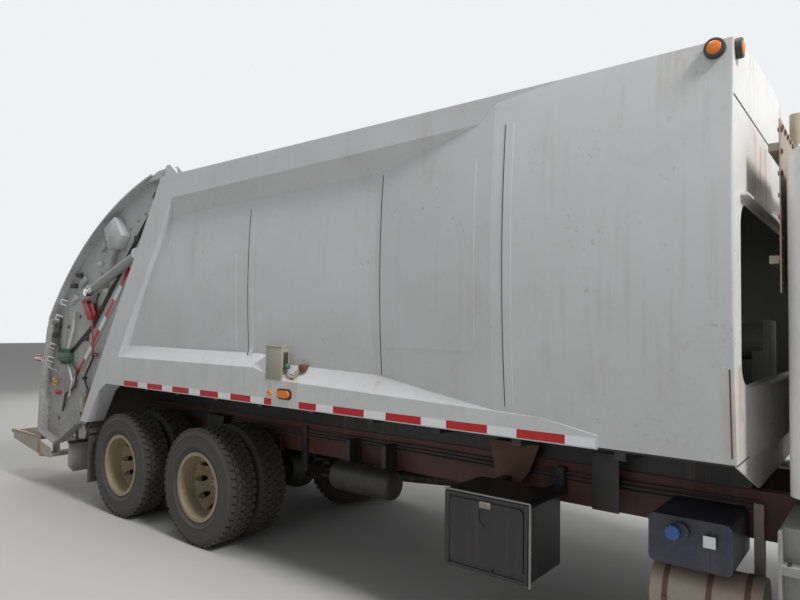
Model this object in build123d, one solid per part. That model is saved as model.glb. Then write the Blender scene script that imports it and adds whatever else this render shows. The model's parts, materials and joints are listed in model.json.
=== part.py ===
from build123d import *
from math import cos, radians, sin, sqrt, tan
import os

os.makedirs("parts", exist_ok=True)

# Rear-loading garbage truck on a three-axle conventional chassis, in millimetres.
# +X is forward, +Y is the driver's side, +Z is up. The origin is on the ground,
# under the middle of the overall length.

# Chassis
bumper_to_drive_axle = 7350.0
step_to_drive_axle = 4000.0
front_axle_to_drive_axle = 6200.0
drive_axle_spacing = 1330.0
rail_outer_half = 432.0
rail_bottom = 790.0
rail_height = 270.0
rail_flange = 90.0
rail_wall = 9.0
rail_rear_overhang = 620.0
rail_front_gap = 140.0
member_flange = 70.0
member_low_step = 50.0
member_high_step = 30.0
cab_mount_radius = 40.0

# Wheels and axles
tyre_radius = 515.0
tyre_width = 280.0
bead_radius = 286.0
bead_half = 112.0
rim_wall = 13.0
rim_lip = 18.0
dual_outer_face = 1210.0
dual_spacing = 335.0
front_outer_face = 1180.0
hub_radius = 105.0
drum_radius = 205.0
spindle_radius = 42.0
axle_tube_radius = 75.0
kingpin_half = 860.0
kingpin_radius = 20.0

# Body
body_front = 4280.0
body_bottom = 1320.0
body_edge_top = 3370.0
roof_crown = 130.0
body_half = 1220.0
shell_rear_x = -2100.0
shell_rear_recess = 115.0
flare_start_x = 2010.0
flare_start_recess = 105.0
flare_end_x = 2990.0
flare_end_recess = 6.0
shell_front_proud = 12.0
shell_belly = 58.0
shell_tuck = 18.0
shell_wall = 8.0
floor_wall = 10.0
tail_plane_top_x = -700.0
tail_plane_top_z = 3350.0
tail_plane_angle = 30.4
post_width = 285.0
post_foot_width = 160.0
post_foot_z = 880.0
post_foot_arch = 330.0
upper_rail_drop = 235.0
upper_rail_lean = 2.2
upper_rail_front_drop = 130.0
lower_rail_height = 205.0
lower_rail_lean = 1.4
rail_step_x = 770.0
rail_step_run = 320.0
rail_step_rise = 85.0
rail_taper_x = 3300.0
rail_taper_height = 135.0
rail_tip_x = 3620.0
rail_tip_height = 72.0
post_reach = 700.0
post_inner_step = 75.0
hinge_side_step = 69.0
front_wall_thickness = 8.0
opening_margin = 142.0
opening_bottom = 1690.0
opening_top = 2600.0
opening_corner = 130.0
front_lip_z = 2640.0
front_lip_depth = 35.0
pod_drop = 205.0
pod_half = 610.0
pod_bulge = 45.0

# Tailgate and packer
hinge_x = -600.0
hinge_rise = 60.0
hinge_pin_radius = 18.0
tail_gap = 6.0
tail_plate_recess = 128.0
tail_plate = 12.0
tail_flange_step = 20.0
cover_wall = 8.0
cover_front_x = -860.0
cover_rear_x = -2300.0
cover_beam_depth = 75.0
cover_beam_drop = 160.0
cover_beam_rise = 132.0
tail_arc_front = (-760.0, 3465.0)
tail_arc_middle = (-1950.0, 3010.0)
tail_arc_rear = (-3059.0, 2000.0)
tail_knee = (-3235.0, 1150.0)
tail_heel = (-3262.0, 640.0)
tail_foot = (-2820.0, 545.0)
blade_pivot = (-2480.0, 1700.0)
blade_length = 1040.0
blade_clearance = 18.0
blade_side_gap = 52.0
blade_rest_angle = 9.0
trough_wall = 12.0
sill_z = 1000.0
carrier_length = 900.0
carrier_depth = 140.0
carrier_travel = 420.0
shoe_half = 60.0
track_bar = 40.0
blade_opening = 80.0
step_depth = 790.0
step_width = 470.0
step_top = 575.0
step_deck = 30.0

# Cylinders
lift_barrel_pin = (-1162.0, 2660.0)
lift_rod_pin = (-2200.0, 2290.0)
lift_barrel_radius = 48.0
lift_barrel_share = 0.86
lift_rod_radius = 30.0
lift_side_step = 68.0
lift_pin_radius = 22.0
lift_eye = (42.0, 34.0)
swing_barrel_radius = 60.0
swing_rod_radius = 32.0
swing_y = 520.0
swing_pin_u = 800.0
swing_pin_v = 170.0
swing_lug_radius = 270.0
swing_lug_angle = 128.0
swing_rod_start = 400.0
swing_barrel_share = 0.56
swing_eye = (46.0, 24.0)

# Cab and hood
cab_rear = 4470.0
cab_front = 6020.0
cab_bottom = 1180.0
cab_roof = 2880.0
cab_half = 1050.0
cab_wall = 50.0
cab_corner = 90.0
cowl_z = 1960.0
door_gap = 8.0
door_rear = 4800.0
door_front = 5900.0
door_bottom = 1250.0
door_top = 2720.0
door_hinge_z = (1420.0, 1700.0)
door_pin_radius = 9.0
door_pin_out = 18.0
glass_wall = 5.0
hood_gap = 14.0
hood_front = 7190.0
hood_pivot = (7180.0, 950.0)
hood_pin_radius = 15.0
hood_pin_reach = 12.0
hood_wall = 10.0
hood_rear_half = 700.0
hood_front_half = 560.0
hood_front_top = 1640.0
hood_bottom = 985.0
arch_radius = 650.0
fender_half = 1185.0
fender_top = 1330.0
bumper_bottom = 560.0
bumper_top = 900.0
bumper_wall = 8.0
bumper_half = 1190.0

# Toolbox
toolbox_x = (2600.0, 3200.0)
toolbox_z = (470.0, 940.0)
toolbox_outer = 1150.0
toolbox_depth = 420.0
toolbox_wall = 10.0
toolbox_door_depth = 40.0
toolbox_hinge_drop = 10.0
toolbox_pin_radius = 5.0
toolbox_hinges = (120.0, 400.0)
toolbox_hinge_length = 80.0

# Ejector
ejector_side_gap = 30.0
ejector_x = 2250.0
ejector_top = 3180.0
ejector_barrel_radius = 115.0
ejector_stage_step = 20.0
ejector_stages = 2
ejector_travel = 3700.0
ejector_rod_z = 1900.0

# Tow sockets, springs, stack and lamps
tow_z = 680.0
tow_radius = 25.0
spring_width = 90.0
front_spring_span = 1350.0
front_spring_leaf = 16.0
front_spring_camber = 90.0
spring_rail_gap = 20.0
stack_radius = 50.0
stack_top = 3420.0
stack_body_gap = 97.0
stack_panel_y = (-950.0, -100.0)
stack_panel_z = (2150.0, 3020.0)
lamp_radius = 48.0
lamp_depth = 26.0

# Fits
seat = 0.3
running = 0.4
clear = 5.0

drive_x = (step_to_drive_axle - bumper_to_drive_axle) / 2.0
rail_top = rail_bottom + rail_height
axle_z = tyre_radius
spring_inner = rail_outer_half + spring_rail_gap
tow_y = rail_outer_half - rail_flange / 2.0
shell_half_front = body_half + shell_front_proud
shell_half_rear = body_half - shell_rear_recess
opening_half = shell_half_front - opening_margin
hinge_z = body_edge_top + hinge_rise
post_inner = shell_half_rear - post_inner_step
hinge_y = body_half - hinge_side_step
tail_plate_half = body_half - tail_plate_recess
tail_flange_half = body_half - tail_flange_step
blade_half = tail_plate_half - blade_side_gap
lift_y = tail_plate_half + lift_side_step
ejector_half = shell_half_rear - shell_tuck - ejector_side_gap


def fwd(distance):
    """Frame X of a place measured forward from the forward drive axle."""
    return drive_x + distance


front_axle_x = fwd(front_axle_to_drive_axle)
drive_axles_x = (drive_x, fwd(-drive_axle_spacing))
bogie_x = fwd(-drive_axle_spacing / 2.0)


def block(x, y, z):
    """Box between pairs of coordinates."""
    size = [abs(pair[1] - pair[0]) for pair in (x, y, z)]
    middle = [(pair[0] + pair[1]) / 2.0 for pair in (x, y, z)]
    return Pos(*middle) * Box(*size)


def closed_face(edges):
    return make_face(Wire(edges))


def side_face(points):
    """Face in the XZ plane through (x, z) points."""
    return make_face(Polyline(*[(x, 0, z) for x, z in points], close=True))


def across(face, y0, y1):
    """Push a face that lies at y = 0 out between two Y values."""
    return Pos(0, y0, 0) * extrude(face, amount=y1 - y0, dir=(0, 1, 0))


def side_prism(points, y0, y1):
    return across(side_face(points), y0, y1)


def end_prism(points, x0, x1):
    """Prism along X of (y, z) points."""
    face = make_face(Polyline(*[(0, y, z) for y, z in points], close=True))
    return Pos(x0, 0, 0) * extrude(face, amount=x1 - x0, dir=(1, 0, 0))


def plan_prism(points, z0, z1):
    """Prism along Z of (x, y) points."""
    face = make_face(Polyline(*[(x, y, 0) for x, y in points], close=True))
    return Pos(0, 0, z0) * extrude(face, amount=z1 - z0, dir=(0, 0, 1))


def cylinder_y(x, z, radius, y0, y1):
    return Pos(x, (y0 + y1) / 2.0, z) * Rot(90, 0, 0) * Cylinder(radius, abs(y1 - y0))


def cylinder_x(y, z, radius, x0, x1):
    return Pos((x0 + x1) / 2.0, y, z) * Rot(0, 90, 0) * Cylinder(radius, abs(x1 - x0))


def cylinder_z(x, y, radius, z0, z1):
    return Pos(x, y, (z0 + z1) / 2.0) * Cylinder(radius, abs(z1 - z0))


def bar(start, end, radius):
    """Round bar between two points."""
    a = Vector(*start)
    b = Vector(*end)
    plane = Plane(origin=a, z_dir=b - a)
    return extrude(plane * Circle(radius), amount=(b - a).length)


def turned(points):
    """Ring about the Y axis from (radius, y) points."""
    profile = make_face(Polyline(*[(r, y, 0) for r, y in points], close=True))
    return revolve(profile, axis=Axis.Y)


def mirrored(shape):
    return mirror(shape, about=Plane.XZ)


def pair(shape):
    return [shape, mirrored(shape)]


def fused(first, *others):
    result = first
    for other in others:
        result = result + other
    return result


written = []


def save(name, *shapes):
    solids = [solid for shape in shapes for solid in shape.solids()]
    export_step(Compound(solids), "parts/" + name + ".step")
    written.append(name)


# Chassis


def rail_strips(rear, front):
    """Left rail as its web and its two flanges."""
    web_inner = rail_outer_half - rail_wall
    flange_inner = rail_outer_half - rail_flange
    low = rail_bottom + rail_wall
    high = rail_top - rail_wall
    return [
        block((rear, front), (web_inner, rail_outer_half), (low + seat, high - seat)),
        block((rear, front), (flange_inner, rail_outer_half), (rail_bottom, low)),
        block((rear, front), (flange_inner, rail_outer_half), (high, rail_top)),
    ]


def crossmember(station):
    """Channel between the webs of the rails."""
    x = fwd(station)
    half = rail_outer_half - rail_wall - seat
    low = rail_bottom + member_low_step
    high = rail_top - member_high_step
    web = block((x, x + rail_wall), (-half, half), (low, high))
    top = block((x, x + member_flange), (-half, half), (high - rail_wall, high))
    foot = block((x, x + member_flange), (-half, half), (low, low + rail_wall))
    return fused(web, top, foot)


def frame_ladder():
    """Rails, crossmembers, cab mounts and the pins that the hood tilts on."""
    rear = fwd(-drive_axle_spacing - rail_rear_overhang)
    front = fwd(bumper_to_drive_axle) - rail_front_gap
    strips = [solid for strip in rail_strips(rear, front) for solid in pair(strip)]
    # Crossmember stations, forward of the forward drive axle
    stations = (
        -drive_axle_spacing - 560.0, -drive_axle_spacing / 2.0, 1250.0, 2450.0, 3650.0, 4560.0, 7120.0
    )
    members = [crossmember(station) for station in stations]
    mounts = []
    mount_y = rail_outer_half - rail_flange / 2.0
    for x in (fwd(cab_rear) + 160.0, fwd(cab_front) - 160.0):
        mount = cylinder_z(x, mount_y, cab_mount_radius, rail_top + seat, cab_bottom - seat)
        mounts += pair(mount)
    x = fwd(hood_pivot[0])
    pin = cylinder_y(
        x, hood_pivot[1], hood_pin_radius, rail_outer_half + seat, hood_front_half + hood_pin_reach
    )
    return strips + members + mounts + pair(pin)


def front_axle():
    """Dropped I-beam with kingpin eyes, and the two leaf springs above it."""
    pad_y = rail_outer_half - rail_flange / 2.0
    eye_radius = 46.0
    eye_low = axle_z - 50.0
    eye_high = axle_z + 50.0
    drop = 90.0
    web = [
        (-kingpin_half, eye_low + 15.0),
        (-pad_y - 140.0, axle_z - 40.0 - drop),
        (pad_y + 140.0, axle_z - 40.0 - drop),
        (kingpin_half, eye_low + 15.0),
        (kingpin_half, eye_high - 15.0),
        (pad_y + 140.0, axle_z + 60.0 - drop),
        (-pad_y - 140.0, axle_z + 60.0 - drop),
        (-kingpin_half, eye_high - 15.0),
    ]
    beam = end_prism(web, front_axle_x - 45.0, front_axle_x + 45.0)
    for side in (-1, 1):
        y0, y1 = sorted((side * (pad_y - 45.0), side * (pad_y + 45.0)))
        beam = beam + cylinder_z(front_axle_x, side * kingpin_half, eye_radius, eye_low, eye_high)
        beam = beam - cylinder_z(
            front_axle_x, side * kingpin_half, kingpin_radius + running, eye_low - 1.0, eye_high + 1.0
        )
        seat_block = block(
            (front_axle_x - 70.0, front_axle_x + 70.0),
            (y0, y1),
            (axle_z + 50.0 - drop, axle_z + 80.0 - drop),
        )
        beam = beam + seat_block
    return beam


def front_springs():
    pad_y = rail_outer_half - rail_flange / 2.0
    y0 = pad_y - 40.0
    y1 = pad_y + 40.0
    seat_z = axle_z - 10.0 + seat
    count = 3
    half = front_spring_span / 2.0
    pack = None
    for index in range(count):
        reach = half * (1.0 - 0.22 * index)
        low = seat_z + (front_spring_leaf - 1.0) * index
        rise = front_spring_camber * (reach / half) ** 2
        edges = [
            ThreePointArc(
                (front_axle_x - reach, 0, low + rise),
                (front_axle_x, 0, low),
                (front_axle_x + reach, 0, low + rise),
            ),
            Line(
                (front_axle_x + reach, 0, low + rise),
                (front_axle_x + reach, 0, low + rise + front_spring_leaf),
            ),
            ThreePointArc(
                (front_axle_x + reach, 0, low + rise + front_spring_leaf),
                (front_axle_x, 0, low + front_spring_leaf),
                (front_axle_x - reach, 0, low + rise + front_spring_leaf),
            ),
            Line(
                (front_axle_x - reach, 0, low + rise + front_spring_leaf),
                (front_axle_x - reach, 0, low + rise),
            ),
        ]
        leaf_solid = across(closed_face(edges), y0, y1)
        pack = leaf_solid if pack is None else pack + leaf_solid
    # Hangers join the spring's ends to the rail's lower flange
    end_low = seat_z + front_spring_camber
    for direction in (-1, 1):
        x = front_axle_x + direction * (half - 35.0)
        hanger = block((x - 35.0, x + 35.0), (y0, y1), (end_low - 10.0, rail_bottom - seat))
        pack = pack + hanger
    return pair(pack)


def drive_axle(x):
    half_length = dual_outer_face - tyre_width / 2.0 - dual_spacing / 2.0 - 60.0
    tube_end = hub_inner_face() - clear
    tube = cylinder_y(x, axle_z, axle_tube_radius, -tube_end, tube_end)
    spindle = cylinder_y(x, axle_z, spindle_radius, -half_length, half_length)
    bowl = Pos(x, 0, axle_z) * Sphere(215.0)
    bowl = bowl & block((x - 215.0, x + 215.0), (-170.0, 170.0), (axle_z - 215.0, axle_z + 215.0))
    nose = cylinder_x(0, axle_z + 20.0, 95.0, x, x + 300.0)
    tail = cylinder_x(0, axle_z + 20.0, 70.0, x - 250.0, x)
    return fused(tube, spindle, bowl, nose, tail)


def bogie_suspension():
    """Leaf packs over the two drive axles, on trunnion saddles bolted to the rails."""
    y0 = spring_inner
    y1 = spring_inner + spring_width
    pack_z = axle_z + axle_tube_radius + seat
    leaf = 18.0
    count = 4
    half = drive_axle_spacing / 2.0 + 70.0
    pack = None
    for index in range(count):
        reach = half * (1.0 - 0.17 * index)
        low = pack_z + leaf * index
        top_sag = 55.0 * (1.0 - (reach / half) ** 2)
        edges = [
            ThreePointArc(
                (bogie_x - reach, 0, low + top_sag),
                (bogie_x, 0, low + 55.0),
                (bogie_x + reach, 0, low + top_sag),
            ),
            Line((bogie_x + reach, 0, low + top_sag), (bogie_x + reach, 0, low + top_sag + leaf)),
            ThreePointArc(
                (bogie_x + reach, 0, low + top_sag + leaf),
                (bogie_x, 0, low + 55.0 + leaf),
                (bogie_x - reach, 0, low + top_sag + leaf),
            ),
            Line((bogie_x - reach, 0, low + top_sag + leaf), (bogie_x - reach, 0, low + top_sag)),
        ]
        leaf_solid = across(closed_face(edges), y0, y1)
        pack = leaf_solid if pack is None else pack + leaf_solid
    saddle_top = rail_top - 40.0
    saddle_low = pack_z + 55.0 + leaf * count - 6.0
    saddle = side_prism(
        [
            (bogie_x - 170.0, saddle_low),
            (bogie_x + 170.0, saddle_low),
            (bogie_x + 110.0, saddle_low + 90.0),
            (bogie_x + 150.0, saddle_top),
            (bogie_x - 150.0, saddle_top),
            (bogie_x - 110.0, saddle_low + 90.0),
        ],
        rail_outer_half + seat,
        y1,
    )
    seats = None
    for x in drive_axles_x:
        pad = side_prism(
            [
                (x - 60.0, pack_z),
                (x + 60.0, pack_z),
                (x + 60.0, pack_z + 20.0),
                (x - 60.0, pack_z + 20.0),
            ],
            y0,
            y1,
        )
        seats = pad if seats is None else seats + pad
    return pair(fused(pack, saddle, seats))


def propshaft():
    """Main shaft in two lengths with a centre bearing, and the inter-axle shaft."""
    radius = 48.0
    nose_x = drive_x + 300.0 + seat
    bearing_x = fwd(2450.0) + 120.0
    gearbox_x = fwd(cab_rear) + 230.0 - seat
    input_z = axle_z + 20.0
    bearing_z = rail_bottom - 70.0
    output_z = rail_bottom - 35.0
    main = fused(
        bar((nose_x + 60.0, 0, input_z), (bearing_x, 0, bearing_z), radius),
        bar((bearing_x, 0, bearing_z), (gearbox_x - 60.0, 0, output_z), radius),
        cylinder_x(0, input_z, 75.0, nose_x, nose_x + 110.0),
        cylinder_x(0, bearing_z, 85.0, bearing_x - 40.0, bearing_x + 40.0),
        cylinder_x(0, output_z, 75.0, gearbox_x - 110.0, gearbox_x),
    )
    hanger_top = rail_bottom + 50.0 - seat
    hanger = block((bearing_x - 110.0, bearing_x - 60.0), (-150.0, 150.0), (bearing_z - 20.0, hanger_top))
    hanger = hanger + block(
        (bearing_x - 110.0, bearing_x), (-40.0, 40.0), (bearing_z - 20.0, bearing_z + 60.0)
    )
    main = main + hanger
    rear_nose = drive_axles_x[1] + 300.0 + seat
    front_tail = drive_x - 250.0 - seat
    link = fused(
        bar((rear_nose, 0, input_z), (front_tail, 0, input_z), radius),
        cylinder_x(0, input_z, 72.0, rear_nose, rear_nose + 90.0),
        cylinder_x(0, input_z, 72.0, front_tail - 90.0, front_tail),
    )
    return main, link


def engine_block():
    """Engine and gearbox as one plain mass on four brackets between the rails."""
    engine_rear = fwd(cab_front) + 40.0
    engine = block((engine_rear, fwd(6930.0)), (-330.0, 330.0), (700.0, 1480.0))
    gearbox = block((fwd(cab_rear) + 230.0, engine_rear), (-190.0, 190.0), (680.0, cab_bottom - 60.0))
    result = engine + gearbox
    inner = rail_outer_half - rail_wall - seat
    bracket_z = rail_bottom + 90.0
    for x in (engine_rear + 80.0, fwd(6800.0)):
        result = result + block((x - 50.0, x + 50.0), (-inner, inner), (bracket_z, bracket_z + 60.0))
    x = fwd(cab_rear) + 420.0
    result = result + block((x - 40.0, x + 40.0), (-inner, inner), (bracket_z, bracket_z + 60.0))
    return result


def radiator():
    x0 = fwd(7000.0)
    core = block((x0, x0 + 70.0), (-400.0, 400.0), (rail_top + seat, 1500.0))
    tank = block((x0 - 15.0, x0 + 85.0), (-400.0, 400.0), (1440.0, 1500.0))
    foot = block((x0 - 15.0, x0 + 85.0), (-430.0, 430.0), (rail_top + seat, rail_top + 60.0))
    return fused(core, tank, foot)


def fuel_tank():
    """Round tank on the driver's side, carried by two brackets on the rail."""
    radius = 300.0
    x0 = fwd(3500.0)
    x1 = fwd(4900.0)
    y = rail_outer_half + 40.0 + radius
    z = rail_bottom - 30.0
    tank = cylinder_x(y, z, radius, x0, x1)
    tank = fillet(tank.edges().filter_by(GeomType.CIRCLE), 40.0)
    for x in (x0 + 250.0, x1 - 250.0):
        bracket = block(
            (x - 40.0, x + 40.0),
            (rail_outer_half + seat, rail_outer_half + 150.0),
            (z - 180.0, rail_top - 30.0),
        )
        tank = tank + bracket
    return tank


def step_box():
    """Battery box with two treads under the curb-side door."""
    x0 = fwd(4430.0)
    x1 = fwd(5330.0)
    outer = -1090.0
    inner = -rail_outer_half - seat
    box = block((x0, x1), (outer + 130.0, inner), (520.0, 1020.0))
    tread_low = block((x0, x1), (outer, outer + 130.0), (500.0, 540.0))
    tread_high = block((x0, x1), (outer + 40.0, outer + 130.0), (820.0, 860.0))
    cheek = side_prism(
        [(x0, 500.0), (x0 + 12.0, 500.0), (x0 + 12.0, 1020.0), (x0, 1020.0)], outer + 20.0, outer + 131.0
    )
    far_cheek = Pos(x1 - x0 - 12.0, 0, 0) * cheek
    return fused(box, tread_low, tread_high, cheek, far_cheek)


def def_tank():
    """Fluid tank with its filler neck on the side."""
    x0 = fwd(3790.0)
    x1 = fwd(4210.0)
    y0 = -900.0
    tank = block((x0, x1), (y0, -rail_outer_half - seat), (700.0, 960.0))
    tank = fillet(tank.edges().filter_by(Axis.Y), 35.0)
    neck = Pos(fwd(3960.0), y0, 890.0) * Rot(90, 0, 0) * Cylinder(45.0, 60.0)
    return tank + neck


def exhaust():
    """Canister under the curb-side rail on its hanger."""
    x0 = fwd(3780.0)
    x1 = fwd(4330.0)
    y = -690.0
    z = 500.0
    rail_face = -rail_outer_half - seat
    canister = cylinder_x(y, z, 165.0, x0, x1)
    strap = (x1 - 90.0, x1 - 40.0)
    hanger = block(strap, (-rail_outer_half - 60.0, rail_face), (z, rail_top - 60.0))
    hanger = hanger + block(strap, (y, rail_face), (z - 30.0, z + 30.0))
    return canister + hanger


def stack():
    """Upright pipe on the driver's rail behind the cab, and the bolted panel tied to it."""
    x = fwd(body_front) + front_wall_thickness + stack_body_gap
    y = rail_outer_half - rail_flange / 2.0
    low = rail_top + seat
    pipe = cylinder_z(x, y, stack_radius, low, stack_top)
    foot = cylinder_z(x, y, stack_radius + 4.0, low, low + 260.0)
    panel_x = x + stack_radius + 2.0
    panel = block((panel_x, panel_x + 6.0), stack_panel_y, stack_panel_z)
    result = fused(pipe, foot, panel)
    for z in (stack_panel_z[0] + 150.0, stack_panel_z[1] - 150.0):
        tie = block((x, panel_x + 1.0), (stack_panel_y[0] + 40.0, y), (z, z + 40.0))
        result = result + tie
    return result


def air_tanks():
    """A reservoir outside each rail on two strap brackets."""
    radius = 118.0
    x0 = fwd(1110.0)
    x1 = fwd(1760.0)
    y = rail_outer_half + 30.0 + radius
    z = 700.0
    tank = cylinder_x(y, z, radius, x0, x1)
    tank = fillet(tank.edges().filter_by(GeomType.CIRCLE), 45.0)
    for x in (x0 + 130.0, x1 - 130.0):
        tank = tank + block(
            (x - 20.0, x + 20.0), (rail_outer_half + seat, y), (z + radius - 30.0, rail_top - 60.0)
        )
    return pair(tank)


def toolbox():
    x0 = fwd(toolbox_x[0])
    x1 = fwd(toolbox_x[1])
    front = -toolbox_outer + toolbox_door_depth + clear
    back = -toolbox_outer + toolbox_depth
    outer = block((x0, x1), (front, back), toolbox_z)
    outer = fillet(outer.edges().filter_by(Axis.Y), 30.0)
    w = toolbox_wall
    inner = block((x0 + w, x1 - w), (front - 1.0, back - w), (toolbox_z[0] + w, toolbox_z[1] - w))
    inner = fillet(inner.edges().filter_by(Axis.Y), 20.0)
    shell = outer - inner
    for x in (x0 + 110.0, x1 - 110.0):
        arm = block(
            (x - 30.0, x + 30.0),
            (back, -rail_outer_half - seat),
            (toolbox_z[1] - 90.0, toolbox_z[1] - 20.0),
        )
        leg = block(
            (x - 30.0, x + 30.0),
            (-rail_outer_half - 60.0, -rail_outer_half - seat),
            (toolbox_z[1] - 60.0, rail_top - 30.0),
        )
        shell = fused(shell, arm, leg)
    y, z = toolbox_hinge_axis()
    for start in toolbox_hinges:
        x = x0 + start
        pin = cylinder_x(y, z, toolbox_pin_radius, x - 12.0, x + toolbox_hinge_length + 12.0)
        shell = shell + pin
        for low in (x - 12.0, x + toolbox_hinge_length + 2.0):
            leaf = block((low, low + 10.0), (y - 6.0, y + 40.0), (z - 6.0, z + 6.0))
            riser = block((low, low + 10.0), (y + 4.0, y + 40.0), (z, toolbox_z[0] + 4.0))
            shell = fused(shell, leaf, riser)
    return shell


def toolbox_hinge_axis():
    return -toolbox_outer + toolbox_door_depth + clear / 2.0, toolbox_z[0] - toolbox_hinge_drop


def toolbox_door():
    """Moulded lid with a raised panel, a blank shield recess and a latch pocket."""
    x0 = fwd(toolbox_x[0])
    x1 = fwd(toolbox_x[1])
    y0 = -toolbox_outer
    y1 = y0 + toolbox_door_depth
    lid = block((x0, x1), (y0 + 12.0, y1), toolbox_z)
    lid = fillet(lid.edges().filter_by(Axis.Y), 30.0)
    raised = block((x0 + 45.0, x1 - 45.0), (y0, y0 + 13.0), (toolbox_z[0] + 45.0, toolbox_z[1] - 45.0))
    raised = fillet(raised.edges().filter_by(Axis.Y), 35.0)
    centre = (x0 + x1) / 2.0
    shield_low = toolbox_z[1] - 200.0
    shield = side_prism(
        [
            (centre, shield_low),
            (centre + 42.0, shield_low + 45.0),
            (centre + 42.0, shield_low + 110.0),
            (centre - 42.0, shield_low + 110.0),
            (centre - 42.0, shield_low + 45.0),
        ],
        y0 - 1.0,
        y0 + 5.0,
    )
    result = lid + raised - shield
    y, z = toolbox_hinge_axis()
    for start in toolbox_hinges:
        x = x0 + start
        barrel = cylinder_x(y, z, toolbox_pin_radius + 4.0, x, x + toolbox_hinge_length)
        leaf = block((x, x + toolbox_hinge_length), (y - 17.0, y - 3.0), (z - 5.0, toolbox_z[0] + 20.0))
        bore = cylinder_x(y, z, toolbox_pin_radius + running, x - 1.0, x + toolbox_hinge_length + 1.0)
        result = fused(result, barrel, leaf) - bore
    return result


def front_bumper():
    """Folded steel channel with swept ends, on the rails' front ends."""
    face = fwd(bumper_to_drive_axle)
    back = face - 140.0 + seat
    half = bumper_half
    outer = [
        (back, -half),
        (face - 110.0, -half),
        (face, -half + 260.0),
        (face, half - 260.0),
        (face - 110.0, half),
        (back, half),
    ]
    w = bumper_wall
    inner = [
        (back - 1.0, -half - 1.0),
        (face - 110.0 - w, -half - 1.0),
        (face - w, -half + 260.0),
        (face - w, half - 260.0),
        (face - 110.0 - w, half + 1.0),
        (back - 1.0, half + 1.0),
    ]
    channel = plan_prism(outer, bumper_bottom, bumper_top)
    channel = channel - plan_prism(inner, bumper_bottom + w, bumper_top - w)
    for y in (-tow_y, tow_y):
        channel = channel + block(
            (back, face - w), (y - 50.0, y + 50.0), (bumper_bottom + w, bumper_top - w)
        )
        channel = channel - cylinder_x(y, tow_z, tow_radius, back - 1.0, face + 1.0)
    return channel


def mudflaps():
    """Rubber flap and its hanger bar behind the last axle, each side."""
    x = fwd(-drive_axle_spacing) - tyre_radius - 120.0
    flap = block((x, x + 10.0), (620.0, 1210.0), (240.0, 790.0))
    bar_low = 770.0
    hanger = block((x + 10.0, x + 50.0), (rail_outer_half + seat, 1210.0), (bar_low, bar_low + 40.0))
    return pair(flap + hanger)


# Wheels


def hub_inner_face():
    return dual_outer_face - tyre_width / 2.0 - dual_spacing - bead_half - 60.0


def tyre(width):
    """Ring with bead, sidewall, shoulder and tread faces."""
    half = width / 2.0
    upper = [
        (bead_radius, bead_half),
        (bead_radius + rim_lip + 4.0, bead_half),
        (bead_radius + rim_lip + 34.0, half - 14.0),
        (tyre_radius - 115.0, half),
        (tyre_radius - 30.0, half - 12.0),
        (tyre_radius, half - 34.0),
    ]
    return turned(upper + [(r, -y) for r, y in reversed(upper)])


def disc_rim():
    """Rim whose mounting face is at y = -offset, open towards +Y."""
    lip = bead_half + seat
    outer = bead_radius - seat
    inner = outer - rim_wall
    face = -dual_spacing / 2.0
    barrel = turned(
        [
            (inner, lip + 10.0),
            (outer + rim_lip, lip + 10.0),
            (outer + rim_lip, lip),
            (outer, lip),
            (outer, -lip),
            (outer + rim_lip, -lip),
            (outer + rim_lip, -lip - 10.0),
            (inner, -lip - 10.0),
        ]
    )
    disc = turned(
        [
            (inner + 1.0, -40.0),
            (inner + 1.0, -70.0),
            (inner - 55.0, face),
            (hub_radius - 1.0, face),
            (hub_radius - 1.0, face + 12.0),
            (inner - 60.0, face + 12.0),
        ]
    )
    disc = cut_hand_holes(disc, inner - 28.0)
    return barrel + disc


def cut_hand_holes(disc, radius):
    hole_radius = 28.0
    count = 10
    for index in range(count):
        angle = 360.0 / count * index
        place = Rot(0, angle, 0) * Pos(radius, -dual_spacing / 4.0 - 30.0, 0)
        hole = place * Rot(90, 0, 0) * Cylinder(hole_radius, 150.0)
        disc = disc - hole
    return disc


def at_wheel(x, y, shape):
    return Pos(x, y, axle_z) * shape


def dual_rims():
    """Two rims back to back on a hub with its brake drum, left-hand side."""
    outer_y = dual_outer_face - tyre_width / 2.0
    inner_y = outer_y - dual_spacing
    middle = (outer_y + inner_y) / 2.0
    outer = Pos(0, outer_y, 0) * disc_rim()
    inner = Pos(0, inner_y, 0) * mirrored(disc_rim())
    hub_in = hub_inner_face()
    hub = turned(
        [
            (0, hub_in),
            (0, middle + 95.0),
            (70.0, middle + 95.0),
            (hub_radius, middle + 70.0),
            (hub_radius, hub_in),
        ],
    )
    bore = turned(
        [
            (0, hub_in - 1.0),
            (0, middle - 40.0),
            (spindle_radius + running, middle - 40.0),
            (spindle_radius + running, hub_in - 1.0),
        ],
    )
    drum_out = middle - 14.0
    drum = turned(
        [
            (hub_radius - 1.0, drum_out - 14.0),
            (hub_radius - 1.0, drum_out),
            (drum_radius, drum_out),
            (drum_radius, hub_in),
            (drum_radius - 16.0, hub_in),
            (drum_radius - 16.0, drum_out - 14.0),
        ]
    )
    return fused(outer, inner, hub, drum) - bore


def front_rim():
    """Single rim, its mounting face outboard, with hub and drum."""
    centre = front_outer_face - front_tyre_width() / 2.0
    rim = Pos(0, centre, 0) * mirrored(disc_rim())
    face = centre + dual_spacing / 2.0
    hub_in = knuckle_face() + clear
    hub = turned(
        [
            (0, hub_in),
            (0, face + 50.0),
            (60.0, face + 50.0),
            (hub_radius, face + 20.0),
            (hub_radius, hub_in),
        ],
    )
    bore = turned(
        [
            (0, hub_in - 1.0),
            (0, face - 60.0),
            (spindle_radius + running, face - 60.0),
            (spindle_radius + running, hub_in - 1.0),
        ]
    )
    return rim + hub - bore


def front_tyre_width():
    return tyre_width + 20.0


def knuckle_face():
    return kingpin_half + 85.0


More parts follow.
